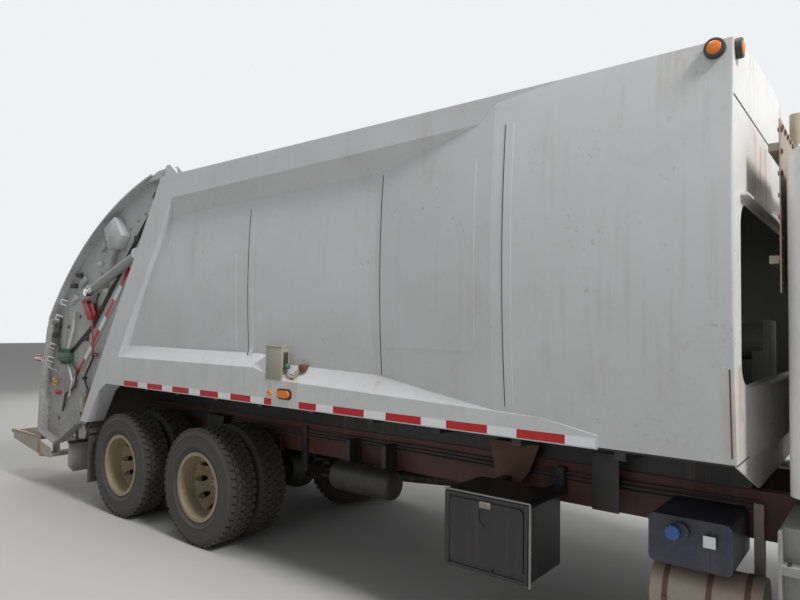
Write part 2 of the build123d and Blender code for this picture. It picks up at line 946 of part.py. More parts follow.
def knuckle():
    """Yoke round the axle's eye with its kingpin and wheel spindle, left-hand side."""
    ear_radius = 50.0
    eye = 50.0
    gap = seat + 0.2
    ear = 30.0
    face = knuckle_face()
    result = cylinder_z(0, kingpin_half, kingpin_radius, -eye - ear, eye + ear)
    for low in (eye + gap, -eye - gap - ear):
        result = result + cylinder_z(0, kingpin_half, ear_radius, low, low + ear)
        result = result + block((-45.0, 45.0), (kingpin_half, face), (low, low + ear))
    result = result + block((-55.0, 55.0), (face - 28.0, face), (-eye - gap - ear, eye + gap + ear))
    centre = front_outer_face - front_tyre_width() / 2.0
    spindle_end = centre + dual_spacing / 2.0 - 70.0
    spindle = cylinder_y(0, 0, spindle_radius, face - 1.0, spindle_end)
    return result + spindle


# Cab


def cab_profile(inset):
    """Side outline of the cab, moved in by inset on every side."""
    x0 = fwd(cab_rear) + inset
    x1 = fwd(cab_front) - inset
    lean = (cab_front - 5700.0) / (cab_roof - 100.0 - cowl_z)
    top = cab_roof - inset
    slide = inset * (sqrt(1.0 + lean * lean) - 1.0) / lean if lean else 0.0
    return [
        (x0, cab_bottom + inset),
        (x1, cab_bottom + inset),
        (x1, cowl_z - slide),
        (x1 - lean * (cab_roof - 100.0 - cowl_z) + inset * 0.1, cab_roof - 100.0 - inset * 0.4),
        (x1 - lean * (cab_roof - 100.0 - cowl_z) - 140.0, top),
        (x0 + 90.0, top),
        (x0, top - 90.0),
    ]


def windscreen_x(z):
    """Frame X of the windscreen's outer plane at height z."""
    lean = (cab_front - 5700.0) / (cab_roof - 100.0 - cowl_z)
    return fwd(cab_front) - lean * (z - cowl_z)


def door_outline(inset):
    x0 = fwd(door_rear) + inset
    x1 = fwd(door_front) - inset
    rake = windscreen_x(door_top - inset) - 110.0 - inset
    return [
        (x0, door_bottom + inset),
        (x1, door_bottom + inset),
        (x1, cowl_z + 20.0),
        (rake, door_top - inset),
        (x0, door_top - inset),
    ]


def door_window(inset):
    x0 = fwd(door_rear) + 100.0 + inset
    low = cowl_z + 50.0 + inset
    high = door_top - 100.0 - inset
    front_low = fwd(door_front) - 120.0 - inset
    rake = windscreen_x(high) - 240.0 - inset
    return [(x0, low), (front_low, low), (rake, high), (x0, high)]


def windscreen_window(grow):
    """Solid through the windscreen opening, square to nothing but the Y axis."""
    low = cowl_z + 60.0 - grow
    high = cab_roof - 190.0 + grow
    half = cab_half - 130.0 + grow
    reach = 200.0
    points = [
        (windscreen_x(low) - reach, low),
        (windscreen_x(low) + reach, low),
        (windscreen_x(high) + reach, high),
        (windscreen_x(high) - reach, high),
    ]
    return side_prism(points, -half, half)


rear_window_z = (2050.0, 2550.0)
rear_window_half = 550.0


def cab_shell():
    outer = side_prism(cab_profile(0.0), -cab_half, cab_half)
    rear_edges = outer.edges().filter_by(Axis.Z).sort_by(Axis.X)[0:2]
    outer = fillet(rear_edges, cab_corner)
    roof_edges = [edge for edge in outer.edges().filter_by(Axis.X) if edge.center().Z > cab_roof - 5.0]
    outer = fillet(roof_edges, 60.0)
    inner = side_prism(cab_profile(cab_wall), -cab_half + cab_wall, cab_half - cab_wall)
    shell = outer - inner
    for side in (-1, 1):
        y0, y1 = sorted((side * (cab_half - cab_wall - 20.0), side * (cab_half + 20.0)))
        shell = shell - side_prism(door_outline(0.0), y0, y1)
    shell = shell - windscreen_window(0.0)
    x0 = fwd(cab_rear)
    shell = shell - block(
        (x0 - 20.0, x0 + cab_wall + 20.0), (-rear_window_half, rear_window_half), rear_window_z
    )
    quarter = quarter_fender()
    pins = door_hinge_pins()
    return fused(shell, quarter, mirrored(quarter), pins, mirrored(pins))


def door_hinge_axis():
    return fwd(door_front) - door_gap / 2.0, cab_half + door_pin_out


def door_hinge_pins():
    """Pins of the left door's hinges, each between two leaves on the front pillar."""
    x, y = door_hinge_axis()
    result = None
    for z in door_hinge_z:
        hinge = cylinder_z(x, y, door_pin_radius, z - 55.0, z + 55.0)
        for low in (z - 55.0, z + 35.0):
            leaf = block((x, x + 60.0), (cab_half - 5.0, y + door_pin_radius), (low, low + 20.0))
            hinge = hinge + leaf
        result = hinge if result is None else result + hinge
    return result


def quarter_fender():
    """Fixed rear part of the left wheel arch, under the cab's front corner."""
    x0 = front_axle_x - arch_radius - 40.0
    x1 = fwd(cab_front)
    w = hood_wall
    low = 800.0
    outer = block((x0, x1), (640.0, fender_half), (low, cab_bottom))
    inner = block((x0 + w, x1 + 1.0), (639.0, fender_half - w), (low - 1.0, cab_bottom - w))
    return outer - inner - cylinder_y(front_axle_x, axle_z, arch_radius, 600.0, fender_half + 10.0)


def cab_glass():
    """Windscreen and rear window, each let into its opening."""
    low = cowl_z + 60.0 + seat
    high = cab_roof - 190.0 - seat
    half = cab_half - 130.0 - seat
    inset = 14.0
    screen = side_prism(
        [
            (windscreen_x(low) - inset - glass_wall, low),
            (windscreen_x(low) - inset, low),
            (windscreen_x(high) - inset, high),
            (windscreen_x(high) - inset - glass_wall, high),
        ],
        -half,
        half,
    )
    x0 = fwd(cab_rear) + inset
    back_half = rear_window_half - seat
    back = block(
        (x0, x0 + glass_wall),
        (-back_half, back_half),
        (rear_window_z[0] + seat, rear_window_z[1] - seat),
    )
    return screen, back


def door():
    """Left door: a panel as thick as the cab's wall with its window, handle and hinge barrels."""
    y0 = cab_half - cab_wall
    panel = side_prism(door_outline(door_gap), y0, cab_half)
    panel = panel - side_prism(door_window(0.0), y0 - 1.0, cab_half + 1.0)
    handle_x = fwd(door_rear) + 130.0
    handle = block((handle_x, handle_x + 150.0), (cab_half, cab_half + 22.0), (1800.0, 1835.0))
    panel = panel + handle
    x, y = door_hinge_axis()
    for z in door_hinge_z:
        barrel = cylinder_z(x, y, door_pin_radius + 7.0, z - 33.0, z + 33.0)
        leaf = block((x - 60.0, x), (cab_half - 5.0, y + door_pin_radius), (z - 33.0, z + 33.0))
        panel = fused(panel, barrel, leaf) - cylinder_z(x, y, door_pin_radius + running, z - 40.0, z + 40.0)
    return panel


def door_glass():
    y0 = cab_half - cab_wall / 2.0
    return side_prism(door_window(seat), y0, y0 + glass_wall)


def mirror_arm():
    """Left mirror: two tube arms from the cowl corner and an upright head."""
    x = fwd(cab_front) - 40.0
    y0 = cab_half + seat
    head_y = 1270.0
    low = 1900.0
    high = 2420.0
    head = block((x - 20.0, x + 60.0), (head_y - 90.0, head_y + 90.0), (low + 20.0, high))
    head = fillet(head.edges().filter_by(Axis.X), 35.0)
    foot = block((x - 40.0, x + 30.0), (y0, y0 + 20.0), (1780.0, 1900.0))
    arm = bar((x, y0 + 10.0, 1850.0), (x + 20.0, head_y, low + 100.0), 14.0)
    return fused(head, foot, arm)


def seats():
    floor = cab_bottom + cab_wall + seat
    result = []
    for y in (-480.0, 480.0):
        x0 = fwd(4760.0)
        cushion = block((x0, x0 + 480.0), (y - 250.0, y + 250.0), (floor + 300.0, floor + 430.0))
        back = side_prism(
            [
                (x0 - 20.0, floor + 400.0),
                (x0 + 110.0, floor + 400.0),
                (x0 + 10.0, floor + 1130.0),
                (x0 - 90.0, floor + 1130.0),
            ],
            y - 230.0,
            y + 230.0,
        )
        pedestal = block((x0 + 60.0, x0 + 400.0), (y - 160.0, y + 160.0), (floor, floor + 300.0))
        result.append(fused(cushion, back, pedestal))
    return result


def dashboard():
    """Dash moulding across the cab, with the steering column."""
    floor = cab_bottom + cab_wall + seat
    x1 = fwd(cab_front) - cab_wall - seat
    half = cab_half - cab_wall - clear
    dash = side_prism(
        [
            (x1, floor + 300.0),
            (x1, cowl_z - 60.0),
            (x1 - 180.0, cowl_z - 60.0),
            (x1 - 330.0, cowl_z - 190.0),
            (x1 - 260.0, floor + 420.0),
        ],
        -half,
        half,
    )
    column = bar((x1 - 200.0, 480.0, 1640.0), (x1 - 470.0, 480.0, 1800.0), 35.0)
    return dash + column


def steering_wheel():
    x1 = fwd(cab_front) - cab_wall - seat
    base = Vector(x1 - 470.0, 480.0, 1800.0)
    direction = Vector(-270.0, 0, 160.0).normalized()
    plane = Plane(origin=base + direction * seat, z_dir=direction)
    hub = extrude(plane * Circle(50.0), amount=45.0)
    ring = plane * Pos(0, 0, 30.0) * Torus(215.0, 16.0)
    spokes = None
    for index in range(3):
        spoke = plane * Rot(0, 0, 120.0 * index + 90.0) * Pos(105.0, 0, 30.0) * Box(190.0, 40.0, 12.0)
        spokes = spoke if spokes is None else spokes + spoke
    return fused(ring, hub, spokes)


# Hood


def hood_section(x, half, low, high, corner):
    """Open-bottomed hood section as a closed wire with round upper corners."""
    k = corner * (1.0 - sqrt(0.5))
    edges = [
        Line((x, -half, low), (x, -half, high - corner)),
        ThreePointArc((x, -half, high - corner), (x, -half + k, high - k), (x, -half + corner, high)),
        Line((x, -half + corner, high), (x, half - corner, high)),
        ThreePointArc((x, half - corner, high), (x, half - k, high - k), (x, half, high - corner)),
        Line((x, half, high - corner), (x, half, low)),
        Line((x, half, low), (x, -half, low)),
    ]
    return closed_face(edges)


def hood():
    """Tapered nose with a flared fender over each front wheel, in one moulding."""
    rear = fwd(cab_front) + hood_gap
    front = fwd(hood_front)
    w = hood_wall
    low = rail_top + 20.0
    nose = loft(
        [
            hood_section(rear, hood_rear_half, low, cowl_z - 20.0, 130.0),
            hood_section(front, hood_front_half, low, hood_front_top, 130.0),
        ],
        ruled=True,
    )
    hollow = loft(
        [
            hood_section(rear - 1.0, hood_rear_half - w, low - 1.0, cowl_z - 20.0 - w, 130.0 - w),
            hood_section(front + 1.0, hood_front_half - w, low - 1.0, hood_front_top - w, 130.0 - w),
        ],
        ruled=True,
    )
    shell = nose - hollow
    for side in (-1, 1):
        shell = fused(shell, fender(side), hood_ear(side))
    return shell


def hood_ear(side):
    """Ear under the nose's front corner, bored for the tilt pin."""
    x = fwd(hood_pivot[0])
    z = hood_pivot[1]
    y0, y1 = sorted((side * (hood_front_half - 15.0), side * hood_front_half))
    plate = block((x - 30.0, x + 8.0), (y0, y1), (z, rail_top + 60.0))
    ear = plate + cylinder_y(x, z, 30.0, y0, y1)
    return ear - cylinder_y(x, z, hood_pin_radius + running, y0 - 1.0, y1 + 1.0)


def fender(side):
    x = front_axle_x
    w = hood_wall
    tail_x = x - arch_radius - 40.0
    nose_x = fwd(hood_front) - 20.0
    outline = [
        (tail_x, 860.0),
        (tail_x, 1120.0),
        (x - 330.0, fender_top),
        (x + 330.0, fender_top),
        (nose_x - 60.0, fender_top - 60.0),
        (nose_x, fender_top - 140.0),
        (nose_x, hood_bottom),
        (x + arch_radius - 60.0, hood_bottom - 60.0),
    ]
    under = [
        (tail_x + w, 850.0),
        (tail_x + w, 1120.0 - w * 0.3),
        (x - 330.0, fender_top - w),
        (x + 330.0, fender_top - w),
        (nose_x - 60.0 - w * 0.4, fender_top - 60.0 - w),
        (nose_x - w, fender_top - 140.0 - w * 0.3),
        (nose_x - w, hood_bottom - 1.0),
        (x + arch_radius - 60.0, hood_bottom - 70.0),
    ]
    inner_y = hood_front_half - w
    y0, y1 = sorted((side * inner_y, side * fender_half))
    u0, u1 = sorted((side * (inner_y - 1.0), side * (fender_half - w)))
    flare = side_prism(outline, y0, y1) - side_prism(under, u0, u1)
    flare = flare - cylinder_y(x, axle_z, arch_radius, side * 400.0, side * (fender_half + 10.0))
    # The flare ends at the cab's face, and its inner part is cut back to the nose's side
    rear = fwd(cab_front) + hood_gap
    front = fwd(hood_front)
    flare = flare - block((rear - 2000.0, rear), (-1500.0, 1500.0), (0.0, 2000.0))
    keep_out = plan_prism(
        [
            (rear - 400.0, side * (hood_rear_half - w / 2.0)),
            (rear, side * (hood_rear_half - w / 2.0)),
            (front, side * (hood_front_half - w / 2.0)),
            (front, 0.0),
            (rear - 400.0, 0.0),
        ],
        800.0,
        1500.0,
    )
    return flare - keep_out


def grille():
    """Frame with upright bars in the nose's mouth."""
    x0 = fwd(hood_front) + seat
    x1 = x0 + 22.0
    half = hood_front_half - 20.0
    low = rail_top + 45.0
    high = hood_front_top - 25.0
    frame = block((x0, x1), (-half, half), (low, high))
    frame = fillet(frame.edges().filter_by(Axis.X), 60.0)
    opening = block((x0 - 1.0, x1 + 1.0), (-half + 45.0, half - 45.0), (low + 45.0, high - 45.0))
    opening = fillet(opening.edges().filter_by(Axis.X), 30.0)
    result = frame - opening
    count = 9
    pitch = 2.0 * (half - 45.0) / (count + 1)
    for index in range(count):
        y = -half + 45.0 + pitch * (index + 1)
        result = result + block((x0 + 3.0, x1 - 3.0), (y - 8.0, y + 8.0), (low + 20.0, high - 20.0))
    return result


def headlamps():
    """Lamp bowl on the front face of each fender."""
    x0 = fwd(hood_front) - 20.0 + seat
    lamp = block((x0, x0 + 55.0), (760.0, 1080.0), (1010.0, 1170.0))
    lamp = fillet(lamp.edges().filter_by(Axis.X), 40.0)
    return pair(lamp)


# Body


def tail_plane_x(z):
    """Place, forward of the forward drive axle, of the slanted tail plane at height z."""
    return tail_plane_top_x - (tail_plane_top_z - z) * tan(radians(tail_plane_angle))


def shell_section(x, half, grow, drop):
    """Closed hoop section: bulging sides, crowned roof and flat bottom."""
    low = body_bottom - drop
    top = body_edge_top + grow
    base = half - shell_tuck + grow
    belly = half + shell_belly + grow
    edge = half + grow
    middle = (low + top) / 2.0 + 100.0
    crown = body_edge_top + roof_crown + grow
    edges = [
        ThreePointArc((x, -base, low), (x, -belly, middle), (x, -edge, top)),
        ThreePointArc((x, -edge, top), (x, 0, crown), (x, edge, top)),
        ThreePointArc((x, edge, top), (x, belly, middle), (x, base, low)),
        Line((x, base, low), (x, -base, low)),
    ]
    return closed_face(edges)


def shell_plan():
    """Rows of (place from the drive axle, half width of the shell at its edges)."""
    return [
        (shell_rear_x, shell_half_rear),
        (flare_start_x, body_half - flare_start_recess),
        (flare_end_x, body_half - flare_end_recess),
        (body_front, shell_half_front),
    ]


def shell_half_at(x):
    """Half width of the shell at its edges, at a place from the drive axle."""
    rows = shell_plan()
    for (x0, half0), (x1, half1) in zip(rows, rows[1:]):
        if x <= x1:
            break
    return half0 + (half1 - half0) * (x - x0) / (x1 - x0)


def behind_tail_plane():
    """Everything behind the tail plane, as a cutting prism."""
    low = 300.0
    high = 4000.0
    far = 4000.0
    return side_prism(
        [
            (fwd(tail_plane_x(low)), low),
            (fwd(tail_plane_x(high)), high),
            (fwd(tail_plane_x(high)) - far, high),
            (fwd(tail_plane_x(low)) - far, low),
        ],
        -body_half * 2.0,
        body_half * 2.0,
    )


def envelope(grow, drop=0.0, end=0.0):
    """Filled hoop of the body from the tail plane to the front."""
    rows = shell_plan()[:-1]
    front_x = body_front + end
    rows.append((front_x, shell_half_at(front_x)))
    return loft([shell_section(fwd(x), half, grow, drop) for x, half in rows], ruled=True)


def body_shell_pieces():
    """Side walls, roof and floor, parted along straight seams."""
    tail = behind_tail_plane()
    outer = envelope(0.0) - tail
    inner = envelope(-shell_wall, -floor_wall, 50.0)
    hoop = outer - inner
    x0 = fwd(shell_rear_x) - 100.0
    x1 = fwd(body_front) + 100.0
    far = body_half * 2.0
    floor_z = body_bottom + floor_wall
    roof_z = body_edge_top - 60.0
    floor = hoop & block((x0, x1), (-far, far), (body_bottom - 50.0, floor_z))
    roof = hoop & block((x0, x1), (-far, far), (roof_z, roof_z + 600.0))
    walls = hoop & block((x0, x1), (-far, far), (floor_z, roof_z))
    return floor, roof, walls


def floor_bearers():
    """Two long sills on the chassis rails and the cross bearers under the floor."""
    sill_half = rail_outer_half - 10.0
    rear = fwd(tail_plane_x(body_bottom)) + 60.0
    front = fwd(body_front) - 60.0
    sill_low = rail_top + seat
    sill_high = body_bottom - 90.0
    result = None
    for side in (-1, 1):
        y0, y1 = sorted((side * (sill_half - 70.0), side * sill_half))
        sill = block((rear + 250.0, front), (y0, y1), (sill_low, sill_high))
        result = sill if result is None else result + sill
    pitch = 610.0
    count = int((front - rear) / pitch)
    for index in range(count + 1):
        x = rear + 40.0 + index * pitch
        half = shell_half_at(x - drive_x) - shell_tuck - 25.0
        if x < rear + post_reach:
            half = post_inner - seat
        bearer = end_prism(
            [
                (-half, body_bottom - 50.0),
                (-half, body_bottom),
                (half, body_bottom),
                (half, body_bottom - 50.0),
                (sill_half, sill_high - 10.0),
                (-sill_half, sill_high - 10.0),
            ],
            x,
            x + 60.0,
        )
        result = result + bearer
    return result


def rounded_opening(x0, x1, half, low, high, corner):
    hole = block((x0, x1), (-half, half), (low, high))
    return fillet(hole.edges().filter_by(Axis.X), corner)


def front_wall():
    """Crowned end plate with its rounded opening, lip and lower pod."""
    x0 = fwd(body_front)
    x1 = x0 + front_wall_thickness
    plate = extrude(
        shell_section(x0, shell_half_front, 0.0, 0.0), amount=front_wall_thickness, dir=(1, 0, 0)
    )
    plate = plate - rounded_opening(
        x0 - 1.0, x1 + 1.0, opening_half, opening_bottom, opening_top, opening_corner
    )
    lip = block(
        (x1, x1 + front_lip_depth), (-opening_half, opening_half), (front_lip_z - 12.0, front_lip_z)
    )
    pod_low = body_bottom - pod_drop
    pod_top = opening_bottom - 20.0
    edge = shell_half_front - shell_tuck
    skirt = end_prism(
        [
            (-edge, body_bottom),
            (-pod_half, pod_low),
            (pod_half, pod_low),
            (edge, body_bottom),
        ],
        x0,
        x1,
    )
    bulge = closed_face(
        [
            ThreePointArc((x1, -pod_half - 330.0, 0), (x1 + pod_bulge, 0, 0), (x1, pod_half + 330.0, 0)),
            Line((x1, pod_half + 330.0, 0), (x1, -pod_half - 330.0, 0)),
        ]
    )
    pod = Pos(0, 0, body_bottom) * extrude(bulge, amount=pod_top - body_bottom, dir=(0, 0, 1))
    return fused(plate, lip, skirt, pod)


def upper_rail():
    """Folded roof rail on the left, cut back to the shell so that it runs out forward."""
    low_rear = body_edge_top - upper_rail_drop
    low_front = body_edge_top - upper_rail_front_drop
    rear_x = fwd(tail_plane_x(body_edge_top)) - 500.0
    front_x = fwd(body_front)
    y0 = shell_half_rear - 20.0
    fall = upper_rail_lean * (body_half - y0)

    def section(x, low):
        corners = [(y0, low - fall), (body_half, low), (body_half, body_edge_top), (y0, body_edge_top)]
        return cross_face(x, corners)

    rail = loft([section(rear_x, low_rear), section(front_x, low_front)], ruled=True)
    return rail - envelope(seat, 0.0, 50.0) - post_zone()


def cross_face(x, corners):
    """Face across the truck at x, from (y, z) corners."""
    ends = corners[1:] + corners[:1]
    return closed_face([Line((x, *start), (x, *end)) for start, end in zip(corners, ends)])


def lower_rail_line():
    """(x, z) of the floor rail's outer top edge, from the rear to the tip."""
    top = body_bottom + lower_rail_height
    step = fwd(rail_step_x)
    return [
        (fwd(tail_plane_x(body_bottom)) - 200.0, top + rail_step_rise),
        (step, top + rail_step_rise),
        (step + rail_step_run, top),
        (fwd(rail_taper_x), body_bottom + rail_taper_height),
        (fwd(rail_tip_x), body_bottom + rail_tip_height),
    ]


def lower_rail():
    """Folded floor rail on the left, deeper over the wheels, its tip run out into the shell."""
    line = lower_rail_line()
    y0 = shell_half_rear - 60.0
    rise = lower_rail_lean * (body_half - y0)
    outline = [(line[0][0], body_bottom)]
    outline += [(x, z + rise) for x, z in line]
    outline.append((line[-1][0], body_bottom))
    rail = side_prism(outline, y0, body_half)

    def above(x, edge):
        """What lies above the leaning upper face at x."""
        out = 50.0
        high = edge + rise + 200.0
        corners = [
            (body_half + out, edge - lower_rail_lean * out),
            (y0 - out, edge + rise + lower_rail_lean * out),
            (y0 - out, high),
            (body_half + out, high),
        ]
        return cross_face(x, corners)

    for (x0, z0), (x1, z1) in zip(line, line[1:]):
        rail = rail - loft([above(x0, z0), above(x1, z1)], ruled=True)
    return rail - envelope(seat, 0.0, 50.0) - post_zone()


def post_zone():
    """Space of the left post, forward edge included, as a cutting prism."""
    return side_prism(post_outline(seat), shell_half_rear - 400.0, body_half + 50.0) + behind_tail_plane()


def post_outline(grow=0.0):
    width = (post_width + grow) / cos(radians(tail_plane_angle))
    foot = post_foot_width / cos(radians(tail_plane_angle))
    top_z = body_edge_top
    foot_z = post_foot_z
    arch_z = body_bottom + 60.0
    return [
        (fwd(tail_plane_x(top_z)), top_z),
        (fwd(tail_plane_x(top_z)) + width, top_z),
        (fwd(tail_plane_x(arch_z + 300.0)) + width, arch_z + 300.0),
        (fwd(tail_plane_x(arch_z)) + width, arch_z),
        (fwd(tail_plane_x(arch_z)) + post_foot_arch, arch_z - seat),
        (fwd(tail_plane_x(arch_z - 150.0)) + foot, arch_z - 150.0),
        (fwd(tail_plane_x(foot_z)) + foot * 0.8, foot_z),
        (fwd(tail_plane_x(foot_z)), foot_z),
    ]


def rear_post():
    """Slanted left post with the hinge ears on top and the lift cylinder's ears behind."""
    post = side_prism(post_outline(), post_inner, body_half)
    ear_x = fwd(hinge_x)
    for y0, y1 in ((hinge_y - 49.0, hinge_y - 35.0), (hinge_y + 35.0, hinge_y + 49.0)):
        ear = side_prism(
            [
                (ear_x - 50.0, body_edge_top - 1.0),
                (ear_x + 170.0, body_edge_top - 1.0),
                (ear_x + 30.0, hinge_z + 50.0),
                (ear_x - 30.0, hinge_z + 50.0),
                (ear_x - 50.0, hinge_z + 20.0),
            ],
            y0,
            y1,
        )
        post = post + ear
    post = post + cylinder_y(ear_x, hinge_z, hinge_pin_radius, hinge_y - 49.0, hinge_y + 49.0)
    pin_x = fwd(lift_barrel_pin[0])
    pin_z = lift_barrel_pin[1]
    for y0, y1 in ((lift_y - 52.0, lift_y - 38.0), (lift_y + 38.0, lift_y + 52.0)):
        lug = side_prism(
            [
                (pin_x, pin_z - 50.0),
                (pin_x + 130.0, pin_z - 90.0),
                (pin_x + 150.0, pin_z + 60.0),
                (pin_x, pin_z + 50.0),
            ],
            y0,
            y1,
        )
        post = fused(post, lug, cylinder_y(pin_x, pin_z, 50.0, y0, y1))
    post = post + cylinder_y(pin_x, pin_z, lift_pin_radius, lift_y - 52.0, lift_y + 52.0)
    return post - envelope(seat, 0.0, 0.0)


def marker_lamps():
    """Amber lamps: an oval and a round one low on each side, two on each top front corner."""
    lamps = []
    out = body_half + seat
    depth = (out, out + 22.0)
    rail_z = body_bottom + 102.0
    oval_x = fwd(1150.0)
    oval = block((oval_x - 36.0, oval_x + 36.0), depth, (rail_z - 27.0, rail_z + 27.0))
    for x in (oval_x - 36.0, oval_x + 36.0):
        oval = oval + cylinder_y(x, rail_z, 27.0, *depth)
    lamps += pair(oval)
    lamps += pair(cylinder_y(fwd(990.0), rail_z, 19.0, *depth))
    top_x = fwd(body_front) - 70.0
    top_z = body_edge_top - 45.0
    side_y = shell_half_front + 3.0
    lamps += pair(cylinder_y(top_x, top_z, lamp_radius, side_y, side_y + lamp_depth))
    front_x = fwd(body_front) + front_wall_thickness + seat
    front_y = shell_half_front - 75.0
    lamps += pair(cylinder_x(front_y, top_z + 10.0, lamp_radius, front_x, front_x + lamp_depth))
    body = envelope(seat)
    return [lamp - body for lamp in lamps]


def junction_box():
    """Sheet-metal housing welded on the curb-side floor rail."""
    x0 = fwd(930.0)
    low = body_bottom + lower_rail_height - 30.0
    return block((x0, x0 + 180.0), (-body_half + 5.0, -body_half + 115.0), (low, low + 290.0))


# Ejector inside the body

def ejector_panel():
    """Slanted plate on a sled, with the last stage of the telescopic cylinder."""
    floor = body_bottom + floor_wall + running
    foot_x = fwd(ejector_x)
    run = (ejector_top - floor) * tan(radians(tail_plane_angle))
    wall = 30.0
    plate = side_prism(
        [
            (foot_x, floor + 20.0),
            (foot_x + wall, floor + 20.0),
            (foot_x + run + wall, ejector_top),
            (foot_x + run, ejector_top),
        ],
        -ejector_half,
        ejector_half,
    )
    result = plate
    for y in (-600.0, 600.0):
        rib = side_prism(
            [
                (foot_x + 10.0, floor),
                (foot_x + 900.0, floor),
                (foot_x + 900.0, floor + 120.0),
                (foot_x + run * 0.7 + wall, floor + (ejector_top - floor) * 0.7),
            ],
            y - 20.0,
            y + 20.0,
        )
        result = result + rib
    return result


def ejector_face_x(z):
    """Frame X of the panel's loading face at height z."""
    return fwd(ejector_x) + (z - body_bottom - floor_wall) * tan(radians(tail_plane_angle))


def stage_radius(index):
    return ejector_barrel_radius - ejector_stage_step * index


def stage_tube(index, bored=True):
    """Stage of the ejector's telescopic cylinder, 0 the barrel."""
    base = fwd(body_front) - 40.0
    panel_x = ejector_face_x(ejector_rod_z) + 40.0
    length = base - panel_x - 260.0
    x1 = base - 30.0 * index
    x0 = x1 - length - 20.0 * index
    radius = stage_radius(index)
    tube = cylinder_x(0, ejector_rod_z, radius, x0, x1)
    if bored:
        bore = cylinder_x(0, ejector_rod_z, radius - ejector_stage_step + running, x0 - 1.0, x1 - 28.0)
        tube = tube - bore
    return tube


def ejector_barrel():
    """Fixed stage on a post that stands on the floor behind the front wall."""
    base = fwd(body_front) - 40.0
    tube = stage_tube(0)
    floor = body_bottom + floor_wall + seat
    post = block((base - 60.0, base + 38.0), (-130.0, 130.0), (floor, ejector_rod_z - 60.0))
    cap = block((base, base + 38.0), (-130.0, 130.0), (floor, ejector_rod_z + 130.0))
    return fused(
        tube,
        cap,
        post - cylinder_x(0, ejector_rod_z, ejector_barrel_radius - 1.0, base - 61.0, base - 1.0),
    )


def ejector_rod():
    base = fwd(body_front) - 40.0
    index = ejector_stages + 1
    x1 = base - 30.0 * index
    return cylinder_x(0, ejector_rod_z, stage_radius(index), ejector_face_x(ejector_rod_z) + 20.0, x1)


# Tailgate


def tail_side_face(inset=0.0):
    """Outline of the tailgate's side: straight front edge, round back, heel and foot."""
    slip = tail_gap / cos(radians(tail_plane_angle))
    top_z = hinge_z - 30.0
    low_z = post_foot_z + 20.0
    front_top = (fwd(tail_plane_x(top_z)) - slip, top_z)
    front_low = (fwd(tail_plane_x(low_z)) - slip, low_z)
    arc_start = (fwd(tail_arc_front[0]), tail_arc_front[1])
    arc_mid = (fwd(tail_arc_middle[0]), tail_arc_middle[1])
    arc_end = (fwd(tail_arc_rear[0]), tail_arc_rear[1])
    knee = (fwd(tail_knee[0]), tail_knee[1])
    heel = (fwd(tail_heel[0]), tail_heel[1])
    foot = (fwd(tail_foot[0]), tail_foot[1])

    def at(point):
        return (point[0], 0, point[1])

    return closed_face(
        [
            Line(at(front_top), at(arc_start)),
            ThreePointArc(at(arc_start), at(arc_mid), at(arc_end)),
            Line(at(arc_end), at(knee)),
            Line(at(knee), at(heel)),
            Line(at(heel), at(foot)),
            Line(at(foot), at(front_low)),
            Line(at(front_low), at(front_top)),
        ]
    )


slide_up = (sin(radians(tail_plane_angle)), cos(radians(tail_plane_angle)))
slide_back = (-slide_up[1], slide_up[0])


def on_slide(u, v):
    """(x, z) of a place along and behind the carrier's line through the blade pivot."""
    return (
        fwd(blade_pivot[0]) + u * slide_up[0] + v * slide_back[0],
        blade_pivot[1] + u * slide_up[1] + v * slide_back[1],
    )


def slide_prism(rows, y0, y1):
    """Prism of (u, v) points on the carrier's line."""
    return side_prism([on_slide(u, v) for u, v in rows], y0, y1)


